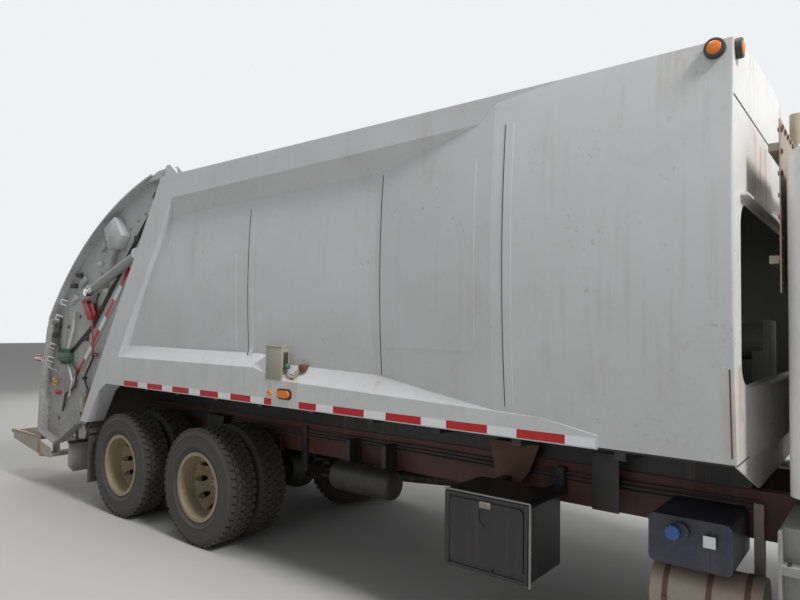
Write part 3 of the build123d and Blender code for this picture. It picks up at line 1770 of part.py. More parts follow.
def tailgate_side():
    """Left side: recessed plate, outstanding rim, diagonal rib and the carrier's track."""
    y1 = tail_plate_half
    y0 = y1 - tail_plate
    plate = across(tail_side_face(), y0, y1)
    ring = across(tail_side_face(), y1 - 1.0, tail_flange_half)
    hollow = across(
        offset(tail_side_face(), amount=-16.0, kind=Kind.INTERSECTION), y1 - 2.0, tail_flange_half + 1.0
    )
    # The rim stands only behind the lift cylinder's path
    clear_front = side_prism(
        [
            (fwd(tail_plane_x(300.0)) + 200.0, 300.0),
            (fwd(tail_plane_x(4000.0)) + 200.0, 4000.0),
            (fwd(-900.0), 4000.0),
            (fwd(-900.0), 3150.0),
            (fwd(-2300.0), 900.0),
            (fwd(-2600.0), 300.0),
        ],
        y1,
        tail_flange_half + 2.0,
    )
    rim = ring - hollow - clear_front
    result = plate + rim
    # Diagonal rib that carries the striped tape
    rib = side_prism(
        [
            (fwd(-800.0), 3275.0),
            (fwd(-740.0), 3215.0),
            (fwd(-2860.0), 905.0),
            (fwd(-2930.0), 975.0),
        ],
        y1 - 1.0,
        y1 + 10.0,
    )
    result = result + (rib & across(tail_side_face(), 0, 2000.0))
    # Two bars guide the carrier's shoes
    top = carrier_length + carrier_travel - 40.0
    near = shoe_half + running
    far = shoe_half + track_bar
    for v0, v1 in ((near, far), (-far, -near)):
        bar_solid = slide_prism([(30.0, v0), (top, v0), (top, v1), (30.0, v1)], blade_half + 8.0, y0 + 1.0)
        result = result + (bar_solid & across(tail_side_face(), 0, 2000.0))
    # Hinge arm
    x = fwd(hinge_x)
    arm = side_prism(
        [
            (x, hinge_z - 36.0),
            (x, hinge_z + 36.0),
            (fwd(tail_arc_front[0]) - 60.0, hinge_z + 20.0),
            (fwd(tail_arc_front[0]) - 260.0, hinge_z - 60.0),
            (fwd(tail_arc_front[0]) + 60.0, hinge_z - 50.0),
        ],
        hinge_y - 30.0,
        hinge_y + 30.0,
    )
    arm = arm + cylinder_y(x, hinge_z, 40.0, hinge_y - 30.0, hinge_y + 30.0)
    arm = arm - cylinder_y(x, hinge_z, hinge_pin_radius + running, hinge_y - 50.0, hinge_y + 50.0)
    gusset = side_prism(
        [
            (fwd(tail_arc_front[0]) - 40.0, hinge_z - 50.0),
            (fwd(tail_arc_front[0]) - 40.0, hinge_z + 10.0),
            (fwd(tail_arc_front[0]) - 260.0, hinge_z - 60.0),
        ],
        y1 - 1.0,
        hinge_y - 26.0,
    )
    boss_face = lift_y - lift_eye[1] - 5.0 - clear
    boss = cylinder_y(fwd(lift_rod_pin[0]), lift_rod_pin[1], 62.0, y1 - 1.0, boss_face)
    return fused(result, arm, gusset, boss)


def tailgate_cover():
    """Curved roof sheet between the sides, with the cross beam at its rear edge."""
    outer = tail_side_face()
    inner = offset(tail_side_face(), amount=-cover_wall, kind=Kind.INTERSECTION)
    half = tail_plate_half - tail_plate - seat
    sheet = across(outer, -half, half) - across(inner, -half - 1.0, half + 1.0)
    front = fwd(cover_front_x)
    rear = fwd(cover_rear_x)
    low = tail_arc_rear[1] + 500.0
    high = hinge_z + 200.0
    sheet = sheet & side_prism(
        [(front, hinge_z - 180.0), (front, high), (rear, high), (rear, low)], -half, half
    )
    beam_front = rear + cover_beam_depth
    edge = cover_edge_z()
    beam = side_prism(
        [
            (rear, high),
            (beam_front, high),
            (beam_front, edge - cover_beam_drop + cover_beam_rise),
            (rear, edge - cover_beam_drop),
        ],
        -half,
        half,
    )
    return sheet + (beam & across(outer, -half, half))


def cover_edge_z():
    """Height of the cover's outer face at its rear edge, on the line between the arc's points."""
    share = (cover_rear_x - tail_arc_middle[0]) / (tail_arc_rear[0] - tail_arc_middle[0])
    return tail_arc_middle[1] + (tail_arc_rear[1] - tail_arc_middle[1]) * share


def trough_radius():
    return blade_length + blade_clearance


def hopper_floor():
    """Ramp along the tail plane, round trough below the blade and the loading sill."""
    px = fwd(blade_pivot[0])
    pz = blade_pivot[1]
    r_in = trough_radius()
    r_out = r_in + trough_wall
    ramp_in = 24.0 + trough_wall
    slip = 1.0 / cos(radians(tail_plane_angle))
    top_z = body_bottom + 4.0

    def ramp(z, depth):
        return fwd(tail_plane_x(z)) - depth * slip

    def meet(radius, depth):
        """Height where the ramp meets the trough's arc."""
        low = pz - radius + 1.0
        high = pz
        for _ in range(60):
            middle = (low + high) / 2.0
            dx = ramp(middle, depth) - px
            inside = dx * dx + (middle - pz) ** 2 < radius * radius
            if inside:
                high = middle
            else:
                low = middle
        return (low + high) / 2.0

    z_in = meet(r_in, ramp_in)
    z_out = meet(r_out, ramp_in - trough_wall)
    sill_in = (px - sqrt(r_in**2 - (pz - sill_z) ** 2), sill_z)
    sill_out = (px - sqrt(r_out**2 - (pz - sill_z) ** 2), sill_z)

    def at(point):
        return (point[0], 0, point[1])

    def arc_middle(radius):
        angle = radians(25.0)
        return (px - radius * sin(angle), pz - radius * cos(angle))

    inner_low = (ramp(z_in, ramp_in), z_in)
    outer_low = (ramp(z_out, ramp_in - trough_wall), z_out)
    face = closed_face(
        [
            Line(at((ramp(top_z, ramp_in), top_z)), at(inner_low)),
            ThreePointArc(at(inner_low), at(arc_middle(r_in)), at(sill_in)),
            Line(at(sill_in), at(sill_out)),
            ThreePointArc(at(sill_out), at(arc_middle(r_out)), at(outer_low)),
            Line(at(outer_low), at((ramp(top_z, ramp_in - trough_wall), top_z))),
            Line(at((ramp(top_z, ramp_in - trough_wall), top_z)), at((ramp(top_z, ramp_in), top_z))),
        ]
    )
    half = tail_plate_half - tail_plate - seat
    trough = across(face, -half, half)
    sill = side_prism(
        [
            (sill_in[0] + 2.0, sill_z),
            (sill_in[0] + 2.0, sill_z + 40.0),
            (sill_out[0] - 30.0, sill_z + 40.0),
            (sill_out[0] - 30.0, sill_z - 90.0),
            (sill_out[0] - 18.0, sill_z - 90.0),
            (sill_out[0] - 8.0, sill_z - 4.0),
        ],
        -half,
        half,
    )
    return trough + sill


def riding_step():
    """Grating tread on tapered cheeks behind the left corner, hung from the side's heel."""
    rear = fwd(-step_to_drive_axle)
    front = rear + step_depth
    y1 = tail_flange_half
    y0 = y1 - step_width
    low = step_top - step_deck
    wall = 20.0
    frame = block((rear, front), (y0, y1), (low, step_top))
    frame = frame - block((rear + wall, front - wall), (y0 + wall, y1 - wall), (low - 1.0, step_top + 1.0))
    count = 12
    pitch = (step_depth - 2.0 * wall) / (count + 1)
    for index in range(count):
        x = rear + wall + pitch * (index + 1)
        frame = frame + block((x - 4.0, x + 4.0), (y0 + wall - 1.0, y1 - wall + 1.0), (low, step_top))
    root = fwd(tail_foot[0])
    cheek_rows = [
        (rear + 70.0, low + 1.0),
        (rear + 70.0, low - 60.0),
        (front + 50.0, low - 170.0),
        (root - 60.0, low - 170.0),
        (root - 60.0, low - 60.0),
        (front, low + 1.0),
    ]
    for side_y in (y0, y1 - 8.0):
        frame = frame + side_prism(cheek_rows, side_y, side_y + 8.0)
    # Hanger plate between the outer cheek and the tailgate's side plate
    hang = side_prism(
        [
            (root - 220.0, low - 160.0),
            (root - 60.0, low - 160.0),
            (root - 80.0, low + 150.0),
            (root - 240.0, low + 150.0),
        ],
        tail_plate_half + seat,
        tail_plate_half + 14.0,
    )
    tie = block((root - 200.0, root - 80.0), (y0, y1), (low - 165.0, low - 120.0))
    return fused(frame, hang, tie) - step_relief()


def step_relief():
    """Space of the tailgate's side, grown by the seat gap."""
    face = offset(tail_side_face(), amount=seat, kind=Kind.INTERSECTION)
    return across(face, 0.0, tail_flange_half + 1.0)


def tail_lamps():
    """Red lamps on the cross beam's rear face."""
    x = fwd(cover_rear_x) - seat
    z = cover_edge_z() - cover_beam_drop / 2.0
    return [cylinder_x(y, z, 34.0, x - 20.0, x) for y in (-300.0, 0.0, 300.0)]


# Packer


def carrier():
    """Box panel on shoes in the side tracks, with the blade's hinge lugs and pin."""
    half = blade_half
    d = carrier_depth / 2.0
    skin = 14.0
    low = 150.0
    shell = slide_prism([(low, -d), (carrier_length, -d), (carrier_length, d), (low, d)], -half, half)
    hollow = slide_prism(
        [
            (low + skin, -d + skin),
            (carrier_length - skin, -d + skin),
            (carrier_length - skin, d + 1.0),
            (low + skin, d + 1.0),
        ],
        -half + skin,
        half - skin,
    )
    panel = shell - hollow
    # Upright webs between the skins
    ears = [side * swing_y + part * 35.0 for side in (-1, 1) for part in (-1, 1)]
    for y in [-800.0, -260.0, 0.0, 260.0, 800.0] + ears:
        web = slide_prism(
            [(low, -d), (carrier_length, -d), (carrier_length, d), (low, d)], y - 8.0, y + 8.0
        )
        panel = panel + web
    # Shoes
    track_y = tail_plate_half - tail_plate - clear
    for side in (-1, 1):
        for u in (low + 60.0, carrier_length - 200.0):
            y0, y1 = sorted((side * (half - 1.0), side * track_y))
            shoe = slide_prism(
                [(u, -shoe_half), (u + 140.0, -shoe_half), (u + 140.0, shoe_half), (u, shoe_half)],
                y0,
                y1,
            )
            panel = panel + shoe
    # Hinge lugs and pin
    for y0, y1 in carrier_lugs():
        lug = slide_prism([(0, -55.0), (low + 1.0, -d), (low + 1.0, d), (0, 55.0)], y0, y1)
        x, z = on_slide(0, 0)
        panel = fused(panel, lug, cylinder_y(x, z, 55.0, y0, y1))
    x, z = on_slide(0, 0)
    panel = panel + cylinder_y(x, z, 28.0, -half + 20.0, half - 20.0)
    return panel


def carrier_lugs():
    return ((-900.0, -660.0), (-360.0, -180.0), (180.0, 360.0), (660.0, 900.0))


def blade_lugs():
    return ((-1020.0, -906.0), (-654.0, -366.0), (-174.0, 174.0), (366.0, 654.0), (906.0, 1020.0))


def blade_point(reach, lift):
    """(x, z) of a place along the closed blade, lift measured to its rear."""
    angle = radians(blade_rest_angle)
    along = (sin(angle), -cos(angle))
    back = (-cos(angle), -sin(angle))
    return (
        fwd(blade_pivot[0]) + reach * along[0] + lift * back[0],
        blade_pivot[1] + reach * along[1] + lift * back[1],
    )


def blade():
    """Curved sweep blade with its hinge barrels and the cylinder lugs."""
    x, z = on_slide(0, 0)

    def at(point):
        return (point[0], 0, point[1])

    front_top = blade_point(100.0, -40.0)
    front_mid = blade_point(560.0, 30.0)
    tip = blade_point(blade_length, 0.0)
    tip_back = blade_point(blade_length - 20.0, 40.0)
    back_mid = blade_point(560.0, 150.0)
    back_top = blade_point(100.0, 90.0)
    face = closed_face(
        [
            ThreePointArc(at(front_top), at(front_mid), at(tip)),
            Line(at(tip), at(tip_back)),
            ThreePointArc(at(tip_back), at(back_mid), at(back_top)),
            Line(at(back_top), at(front_top)),
        ]
    )
    result = across(face, -blade_half, blade_half)
    for y0, y1 in blade_lugs():
        neck = side_prism(
            [(x - 50.0, z + 10.0), (x + 50.0, z + 10.0), blade_point(110.0, -38.0), blade_point(110.0, 88.0)],
            y0,
            y1,
        )
        result = fused(result, neck, cylinder_y(x, z, 55.0, y0, y1))
    pin_u = swing_lug_radius * cos(radians(swing_lug_angle))
    pin_v = swing_lug_radius * sin(radians(swing_lug_angle))
    px, pz = on_slide(pin_u, pin_v)
    for side in (-1, 1):
        y0, y1 = sorted((side * (swing_y + 32.0), side * (swing_y + 56.0)))
        lug = side_prism(
            [
                (x - 20.0, z + 52.0),
                (px + 36.0, pz + 36.0),
                (px - 36.0, pz - 36.0),
                blade_point(220.0, 90.0),
            ],
            y0,
            y1,
        )
        result = fused(result, lug, cylinder_y(px, pz, 48.0, y0, y1))
    # The pin's running bore
    for y0, y1 in blade_lugs():
        result = result - cylinder_y(x, z, 28.0 + running, y0 - 1.0, y1 + 1.0)
    return result


def cylinder_pair(start, end, y, barrel_radius, rod_radius, barrel_share, rod_start, eye, pin_radius):
    """Barrel with a bored eye at start, and rod with an eye at end, in the XZ plane at y."""
    eye_radius, eye_half = eye
    a = Vector(start[0], y, start[1])
    b = Vector(end[0], y, end[1])
    line = b - a
    length = line.length
    direction = line.normalized()
    barrel_start = a + direction * (eye_radius + 22.0)
    barrel_end = a + direction * (length * barrel_share)
    plane = Plane(origin=barrel_start, z_dir=direction)
    barrel = extrude(plane * Circle(barrel_radius), amount=(barrel_end - barrel_start).length)
    bore = Plane(origin=barrel_start + direction * 40.0, z_dir=direction)
    barrel = barrel - extrude(bore * Circle(rod_radius + running), amount=length)
    neck = Plane(origin=a, z_dir=direction)
    barrel = barrel + extrude(neck * Circle(eye_half - 4.0), amount=eye_radius + 23.0)
    barrel = barrel + cylinder_y(a.X, a.Z, eye_radius, y - eye_half, y + eye_half)
    barrel = barrel - cylinder_y(a.X, a.Z, pin_radius + running, y - eye_half - 1.0, y + eye_half + 1.0)
    inner_end = barrel_start + direction * rod_start
    rod_plane = Plane(origin=inner_end, z_dir=direction)
    rod = extrude(rod_plane * Circle(rod_radius), amount=(b - inner_end).length - eye_radius - 12.0)
    stem = Plane(origin=b, z_dir=direction * -1.0)
    rod = rod + extrude(stem * Circle(eye_half - 4.0), amount=eye_radius + 30.0)
    rod = rod + cylinder_y(b.X, b.Z, eye_radius, y - eye_half, y + eye_half)
    rod = rod + cylinder_y(b.X, b.Z, pin_radius, y - eye_half - 5.0, y + eye_half + 5.0)
    return barrel, rod


def lift_cylinders():
    start = (fwd(lift_barrel_pin[0]), lift_barrel_pin[1])
    end = (fwd(lift_rod_pin[0]), lift_rod_pin[1])
    return cylinder_pair(
        start,
        end,
        lift_y,
        lift_barrel_radius,
        lift_rod_radius,
        lift_barrel_share,
        60.0,
        lift_eye,
        lift_pin_radius,
    )


def swing_pin():
    return on_slide(
        swing_lug_radius * cos(radians(swing_lug_angle)),
        swing_lug_radius * sin(radians(swing_lug_angle)),
    )


def swing_cylinders():
    start = on_slide(swing_pin_u, swing_pin_v)
    return cylinder_pair(
        start,
        swing_pin(),
        swing_y,
        swing_barrel_radius,
        swing_rod_radius,
        swing_barrel_share,
        swing_rod_start,
        swing_eye,
        24.0,
    )


def swing_brackets():
    """Ears on the carrier that hold the blade cylinders' barrels."""
    x, z = on_slide(swing_pin_u, swing_pin_v)
    result = None
    for y0, y1 in ((swing_y - 42.0, swing_y - 28.0), (swing_y + 28.0, swing_y + 42.0)):
        ear = slide_prism(
            [
                (swing_pin_u - 60.0, carrier_depth / 2.0 - 1.0),
                (swing_pin_u + 60.0, carrier_depth / 2.0 - 1.0),
                (swing_pin_u + 40.0, swing_pin_v),
                (swing_pin_u - 40.0, swing_pin_v),
            ],
            y0,
            y1,
        )
        ear = ear + cylinder_y(x, z, 46.0, y0, y1)
        result = ear if result is None else result + ear
    return result + cylinder_y(x, z, 24.0, swing_y - 42.0, swing_y + 42.0)


def build_chassis():
    save("frame_ladder", *frame_ladder())
    save("front_axle", front_axle(), *front_springs())
    axles = [drive_axle(x) for x in drive_axles_x]
    save("drive_axles", *axles, *bogie_suspension(), *propshaft())
    save("engine_block", engine_block(), radiator())
    save("fuel_tank", fuel_tank())
    save("step_box", step_box())
    save("def_tank", def_tank())
    save("exhaust", exhaust(), stack())
    save("air_tanks", *air_tanks())
    save("toolbox", toolbox())
    save("toolbox_door", toolbox_door())
    save("front_bumper", front_bumper())
    save("mudflaps", *mudflaps())


def build_wheels():
    outer_y = dual_outer_face - tyre_width / 2.0
    tyres = [Pos(0, y, 0) * tyre(tyre_width) for y in (outer_y, outer_y - dual_spacing)]
    rims = dual_rims()
    for number, x in enumerate(drive_axles_x, start=1):
        for side in ("left", "right"):
            turn = mirrored if side == "right" else (lambda shape: shape)
            save("tyres_axle_%d_%s" % (number, side), *[turn(at_wheel(x, 0, shape)) for shape in tyres])
            save("rims_axle_%d_%s" % (number, side), turn(at_wheel(x, 0, rims)))
    centre = front_outer_face - front_tyre_width() / 2.0
    front_tyre = Pos(0, centre, 0) * tyre(front_tyre_width())
    rim = front_rim()
    pivot = knuckle()
    for side in ("left", "right"):
        turn = mirrored if side == "right" else (lambda shape: shape)
        save("front_tyre_" + side, turn(at_wheel(front_axle_x, 0, front_tyre)))
        save("front_rim_" + side, turn(at_wheel(front_axle_x, 0, rim)))
        save("knuckle_" + side, turn(at_wheel(front_axle_x, 0, pivot)))


def build_cab():
    save("cab_shell", cab_shell())
    save("cab_glass", *cab_glass())
    save("seats", *seats())
    save("cab_interior", dashboard(), steering_wheel())
    save("mirrors", *pair(mirror_arm()))
    save("door_left", door())
    save("door_right", mirrored(door()))
    save("door_glass_left", door_glass())
    save("door_glass_right", mirrored(door_glass()))
    save("hood", hood())
    save("grille", grille())
    save("headlamps", *headlamps())


def build_body():
    floor, roof, walls = body_shell_pieces()
    save("body_floor", floor, floor_bearers())
    save("body_shell", roof, walls)
    save("front_wall", front_wall())
    floor_rail = lower_rail()
    boxed_rail = fused(mirrored(floor_rail), junction_box() - envelope(seat))
    save("body_rails", *pair(upper_rail()), floor_rail, boxed_rail)
    save("rear_posts", *pair(rear_post()))
    save("marker_lamps", *marker_lamps())
    save("ejector_panel", ejector_panel() + ejector_rod())
    save("ejector_barrel", ejector_barrel())
    for index in range(1, ejector_stages + 1):
        save("ejector_stage_%d" % index, stage_tube(index))


def build_tailgate():
    save("tailgate_sides", *pair(tailgate_side()))
    save("tailgate_cover", tailgate_cover())
    save("hopper_floor", hopper_floor())
    save("riding_steps", *pair(riding_step()))
    save("tail_lamps", *tail_lamps())
    brackets = swing_brackets()
    save("packer_carrier", fused(carrier(), brackets, mirrored(brackets)))
    save("packer_blade", blade())
    lift_barrel, lift_rod = lift_cylinders()
    save("lift_barrels", *pair(lift_barrel))
    save("lift_rods", *pair(lift_rod))
    swing_barrel, swing_rod = swing_cylinders()
    save("blade_barrels", *pair(swing_barrel))
    save("blade_rods", *pair(swing_rod))


build_chassis()
build_wheels()
build_cab()
build_body()
build_tailgate()
print(len(written), "nodes")
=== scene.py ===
# %% [markdown]
# # A rear-loading garbage truck
#
# The truck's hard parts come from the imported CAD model, which is loaded here as a fixed frame.
# This script dresses that frame: it gives every CAD part a procedural finish, and adds the tyre
# treads, seams, bolts, lamps, hoses and soft seats that a CAD model leaves out.
# Everything is in metres. +X is forward, +Y is the driver's left and +Z is up.

import json
from math import atan2, cos, e, pi, radians, sin, tan

import bmesh
import bpy
from mathutils import Matrix, Vector
from mathutils.bvhtree import BVHTree


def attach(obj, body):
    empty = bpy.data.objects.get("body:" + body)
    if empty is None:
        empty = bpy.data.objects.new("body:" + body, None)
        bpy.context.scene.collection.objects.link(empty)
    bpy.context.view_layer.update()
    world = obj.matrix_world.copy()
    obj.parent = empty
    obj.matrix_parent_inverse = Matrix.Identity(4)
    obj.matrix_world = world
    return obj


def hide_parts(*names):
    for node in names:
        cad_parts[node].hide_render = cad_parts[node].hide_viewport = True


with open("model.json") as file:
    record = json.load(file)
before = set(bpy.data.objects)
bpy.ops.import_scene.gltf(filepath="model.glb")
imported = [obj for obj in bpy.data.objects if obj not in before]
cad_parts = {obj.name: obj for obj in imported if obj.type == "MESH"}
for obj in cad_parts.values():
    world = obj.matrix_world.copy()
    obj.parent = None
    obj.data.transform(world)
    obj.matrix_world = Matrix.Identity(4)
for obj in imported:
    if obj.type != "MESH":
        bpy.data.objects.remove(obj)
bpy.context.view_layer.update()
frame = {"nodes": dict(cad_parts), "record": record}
nodes = frame["nodes"]

# %% [markdown]
# ## Places on the truck
#
# A designer measures a truck from its forward drive axle, so the same habit is kept here.
# `ahead` turns such a distance into the frame's own X, whose zero is under the middle of the
# whole length.

# %% Driving places
DRIVE_AXLE_X = -1.675
AXLE_SPACING = 1.33
FRONT_AXLE = 6.2
AXLE_Z = 0.515
BODY_FRONT = 4.28
BODY_BOTTOM = 1.32
BODY_HALF = 1.22
TAIL_ANGLE = radians(30.4)


def ahead(distance):
    """Frame X of a place measured forward from the forward drive axle."""
    return DRIVE_AXLE_X + distance


def at(distance, y, z):
    """A point of the frame from a distance ahead of the forward drive axle, y and z."""
    return Vector((ahead(distance), y, z))


def tail_plane(z):
    """Distance ahead of the drive axle of the slanted joint between body and tailgate."""
    return -0.70 - (3.35 - z) * tan(TAIL_ANGLE)


print("tail plane at the floor", round(tail_plane(BODY_BOTTOM), 3))

# %% [markdown]
# ## Camera
#
# The photograph was taken with a wide phone lens from beside the cab, looking back along the
# truck. The camera's place, its turn, its slight upward tilt and its small roll were solved from
# the wheels and the body's straight edges, so a render can be laid over the photograph.

# %% Camera
def new_object(name, data):
    """An object with this data, linked into the scene."""
    made = bpy.data.objects.new(name, data)
    bpy.context.scene.collection.objects.link(made)
    return made


PHOTO_WIDTH = 800
FOCAL_PIXELS = 630.4
SENSOR = 36.0

camera_data = bpy.data.cameras.new("camera")
camera_data.sensor_fit = "HORIZONTAL"
camera_data.sensor_width = SENSOR
camera_data.lens = FOCAL_PIXELS / PHOTO_WIDTH * SENSOR
camera_data.clip_start = 0.05
camera_data.clip_end = 400.0
camera = new_object("camera", camera_data)

camera_yaw = radians(38.15)
camera_pitch = radians(2.5)
camera_roll = radians(0.88)
CAMERA_PLACE = at(4.877, -4.533, 1.952)
level = Vector((cos(camera_yaw), sin(camera_yaw), 0.0))
look = Vector(
    (-sin(camera_yaw) * cos(camera_pitch), cos(camera_yaw) * cos(camera_pitch), sin(camera_pitch))
)
upward = level.cross(look)
right = cos(camera_roll) * level + sin(camera_roll) * upward
top = cos(camera_roll) * upward - sin(camera_roll) * level
turn = Matrix((right, top, -look)).transposed().to_4x4()
camera.matrix_world = Matrix.Translation(CAMERA_PLACE) @ turn
bpy.context.scene.camera = camera
print("lens", round(camera_data.lens, 2), "mm")

# %% [markdown]
# ## Helpers for shader nodes
#
# The backdrop, the effects and the finishes are all built from the same few kinds of nodes. Each
# kind has one helper here, so that the cells below say only what is mixed with what.

# %% Helpers that add nodes
def effect_group(name, inputs, outputs):
    """An empty shader node group with float inputs (name, default) and float outputs."""
    group = bpy.data.node_groups.new(name, "ShaderNodeTree")
    for label, default in inputs:
        socket = group.interface.new_socket(name=label, in_out="INPUT", socket_type="NodeSocketFloat")
        socket.default_value = default
    for label in outputs:
        group.interface.new_socket(name=label, in_out="OUTPUT", socket_type="NodeSocketFloat")
    enter = group.nodes.new("NodeGroupInput")
    leave = group.nodes.new("NodeGroupOutput")
    return group, enter, leave


def noise_in(tree, scale, detail=4.0, roughness=0.6, stretch=(1.0, 1.0, 1.0), shift=(0.0, 0.0, 0.0)):
    """Noise on Object coordinates, stretched by stretch. Returns its Fac output."""
    place = tree.nodes.new("ShaderNodeTexCoord")
    mapping = tree.nodes.new("ShaderNodeMapping")
    mapping.inputs["Scale"].default_value = stretch
    mapping.inputs["Location"].default_value = shift
    noise = tree.nodes.new("ShaderNodeTexNoise")
    noise.inputs["Scale"].default_value = scale
    noise.inputs["Detail"].default_value = detail
    noise.inputs["Roughness"].default_value = roughness
    tree.links.new(place.outputs["Object"], mapping.inputs["Vector"])
    tree.links.new(mapping.outputs["Vector"], noise.inputs["Vector"])
    return noise.outputs["Fac"]


def steps_in(tree, value, low, high, start=0.0, stop=1.0):
    """Value mapped from low..high to start..stop, and held there."""
    mapped = tree.nodes.new("ShaderNodeMapRange")
    for label, number in (("From Min", low), ("From Max", high), ("To Min", start), ("To Max", stop)):
        mapped.inputs[label].default_value = number
    tree.links.new(value, mapped.inputs["Value"])
    return mapped.outputs["Result"]


def maths_in(tree, operation, first, second=0.0, clamp=True):
    """One Math node. Either value may be a socket or a number. clamp holds it within 0..1."""
    node = tree.nodes.new("ShaderNodeMath")
    node.operation = operation
    node.use_clamp = clamp
    for index, value in enumerate((first, second)):
        if isinstance(value, (int, float)):
            node.inputs[index].default_value = value
        else:
            tree.links.new(value, node.inputs[index])
    return node.outputs[0]


def new_material(name):
    """A material with nodes, and its Principled shader."""
    material = bpy.data.materials.new(name)
    material.use_nodes = True
    return material, material.node_tree.nodes["Principled BSDF"]


# %% [markdown]
# ## Floor, backdrop and light
#
# A pale studio floor and soft light show paint and rust as they are. One large lamp stands high
# in front, as the sun did, so that ledges are bright and the curb side lies in mild shade. A wide
# lamp and the world fill the shadows. The backdrop's plain colour is only seen, by the camera and
# in reflections, and doesn't light the truck.

# %% Floor and light
FLOOR_HALF = 60.0
FLOOR_COLOUR = (0.46, 0.455, 0.45, 1.0)
BACKDROP_COLOUR = (0.86, 0.88, 0.90, 1.0)
SKY_STRENGTH = 0.26

floor_mesh = bpy.data.meshes.new("floor")
floor_form = bmesh.new()
bmesh.ops.create_grid(floor_form, x_segments=1, y_segments=1, size=FLOOR_HALF)
floor_form.to_mesh(floor_mesh)
floor_form.free()
new_object("floor", floor_mesh)

floor_paint, floor_shader = new_material("floor_paint")
floor_shader.inputs["Base Color"].default_value = FLOOR_COLOUR
floor_shader.inputs["Roughness"].default_value = 0.9
floor_mesh.materials.append(floor_paint)

world = bpy.data.worlds.new("studio")
bpy.context.scene.world = world
world.use_nodes = True
world_nodes = world.node_tree.nodes
world_links = world.node_tree.links
soft_sky = world_nodes["Background"]
soft_sky.inputs["Color"].default_value = (1.0, 1.0, 1.0, 1.0)
soft_sky.inputs["Strength"].default_value = SKY_STRENGTH
backdrop = world_nodes.new("ShaderNodeBackground")
backdrop.inputs["Color"].default_value = BACKDROP_COLOUR
backdrop.inputs["Strength"].default_value = 1.0
seen_ray = world_nodes.new("ShaderNodeLightPath")
world_mix = world_nodes.new("ShaderNodeMixShader")
seen = seen_ray.outputs["Is Camera Ray"]
for kind in ("Is Glossy Ray", "Is Transmission Ray"):
    seen = maths_in(world.node_tree, "MAXIMUM", seen, seen_ray.outputs[kind], clamp=False)
world_links.new(seen, world_mix.inputs["Fac"])
world_links.new(soft_sky.outputs[0], world_mix.inputs[1])
world_links.new(backdrop.outputs[0], world_mix.inputs[2])
world_links.new(world_mix.outputs[0], world_nodes["World Output"].inputs["Surface"])


def soft_lamp(name, place, target, size, power):
    """A square area lamp at place that looks at target."""
    data = bpy.data.lights.new(name, "AREA")
    data.shape = "SQUARE"
    data.size = size
    data.energy = power
    lamp = new_object(name, data)
    lamp.location = place
    aim = Vector(target) - Vector(place)
    lamp.rotation_euler = aim.to_track_quat("-Z", "Y").to_euler()


soft_lamp("sun_front", (10.5, -2.6, 12.0), (0.5, 0.0, 1.5), 2.6, 1700.0)
soft_lamp("side_fill", (2.0, -12.0, 5.0), (0.0, 0.0, 1.5), 7.0, 70.0)
soft_lamp("sky_above", (-1.0, -1.0, 13.0), (0.0, 0.0, 1.5), 6.0, 760.0)
soft_lamp("rear_fill", (-13.0, 5.0, 6.0), (-3.0, 0.0, 1.5), 6.0, 300.0)
bpy.context.scene.view_settings.view_transform = "Standard"
print("floor and", len(bpy.data.lights), "lamps")

# %% [markdown]
# ## Shared effects as node groups
#
# Old paint, tyres and steel share a few effects: broad grime that gathers low down, which on some
# finishes also stands in for painted shade, rain streaks that run down a wall, small chips, and
# rust runs below one place. Each effect is one shader node group that puts out a mask, so that
# every material can mix it in at its own strength.

# %% Grime and painted shade that gather low down
def build_grime_and_shade():
    """Mask of road dirt, which on some finishes also stands in for painted shade: strong near the ground,
    patchy above.
    """
    group, enter, leave = effect_group("grime_and_shade", [("Amount", 0.5), ("Top", 1.6)], ["Mask"])
    place = group.nodes.new("ShaderNodeTexCoord")
    split = group.nodes.new("ShaderNodeSeparateXYZ")
    group.links.new(place.outputs["Object"], split.inputs[0])
    height = maths_in(group, "DIVIDE", split.outputs["Z"], enter.outputs["Top"], clamp=False)
    low = maths_in(group, "SUBTRACT", 1.0, height)
    patches = steps_in(group, noise_in(group, 2.3, 6.0), 0.35, 0.72)
    fine = steps_in(group, noise_in(group, 38.0, 3.0), 0.3, 0.75)
    low_part = maths_in(group, "MULTIPLY", low, 0.9)
    spread = maths_in(group, "ADD", low_part, maths_in(group, "MULTIPLY", patches, 0.45))
    grain = maths_in(group, "ADD", 0.55, maths_in(group, "MULTIPLY", fine, 0.5))
    grained = maths_in(group, "MULTIPLY", spread, grain)
    group.links.new(maths_in(group, "MULTIPLY", grained, enter.outputs["Amount"]), leave.inputs["Mask"])
    return group


# %% Streaks that rain draws down a wall
def build_streaks():
    """Mask of thin upright streaks, broken up along their length."""
    group, enter, leave = effect_group("streaks", [("Amount", 0.5)], ["Mask"])
    thin = steps_in(group, noise_in(group, 1.0, 4.0, 0.6, (14.0, 14.0, 0.5)), 0.54, 0.72)
    breaks = steps_in(
        group, noise_in(group, 1.7, 3.0, 0.5, (1.0, 1.0, 0.8), (3.0, 7.0, 1.0)), 0.40, 0.66
    )
    streak = maths_in(group, "MULTIPLY", thin, breaks)
    group.links.new(maths_in(group, "MULTIPLY", streak, enter.outputs["Amount"]), leave.inputs["Mask"])
    return group


# %% Chips and rust spots
def build_chips():
    """Mask of small sharp-edged chips, gathered in patches."""
    group, enter, leave = effect_group("chips", [("Amount", 0.5)], ["Mask"])
    where = steps_in(group, noise_in(group, 3.1, 3.0, 0.5, (1.0, 1.0, 1.0), (5.0, 2.0, 9.0)), 0.52, 0.7)
    spots = steps_in(group, noise_in(group, 24.0, 6.0, 0.7), 0.60, 0.66)
    chip = maths_in(group, "MULTIPLY", where, spots)
    group.links.new(maths_in(group, "MULTIPLY", chip, enter.outputs["Amount"]), leave.inputs["Mask"])
    return group


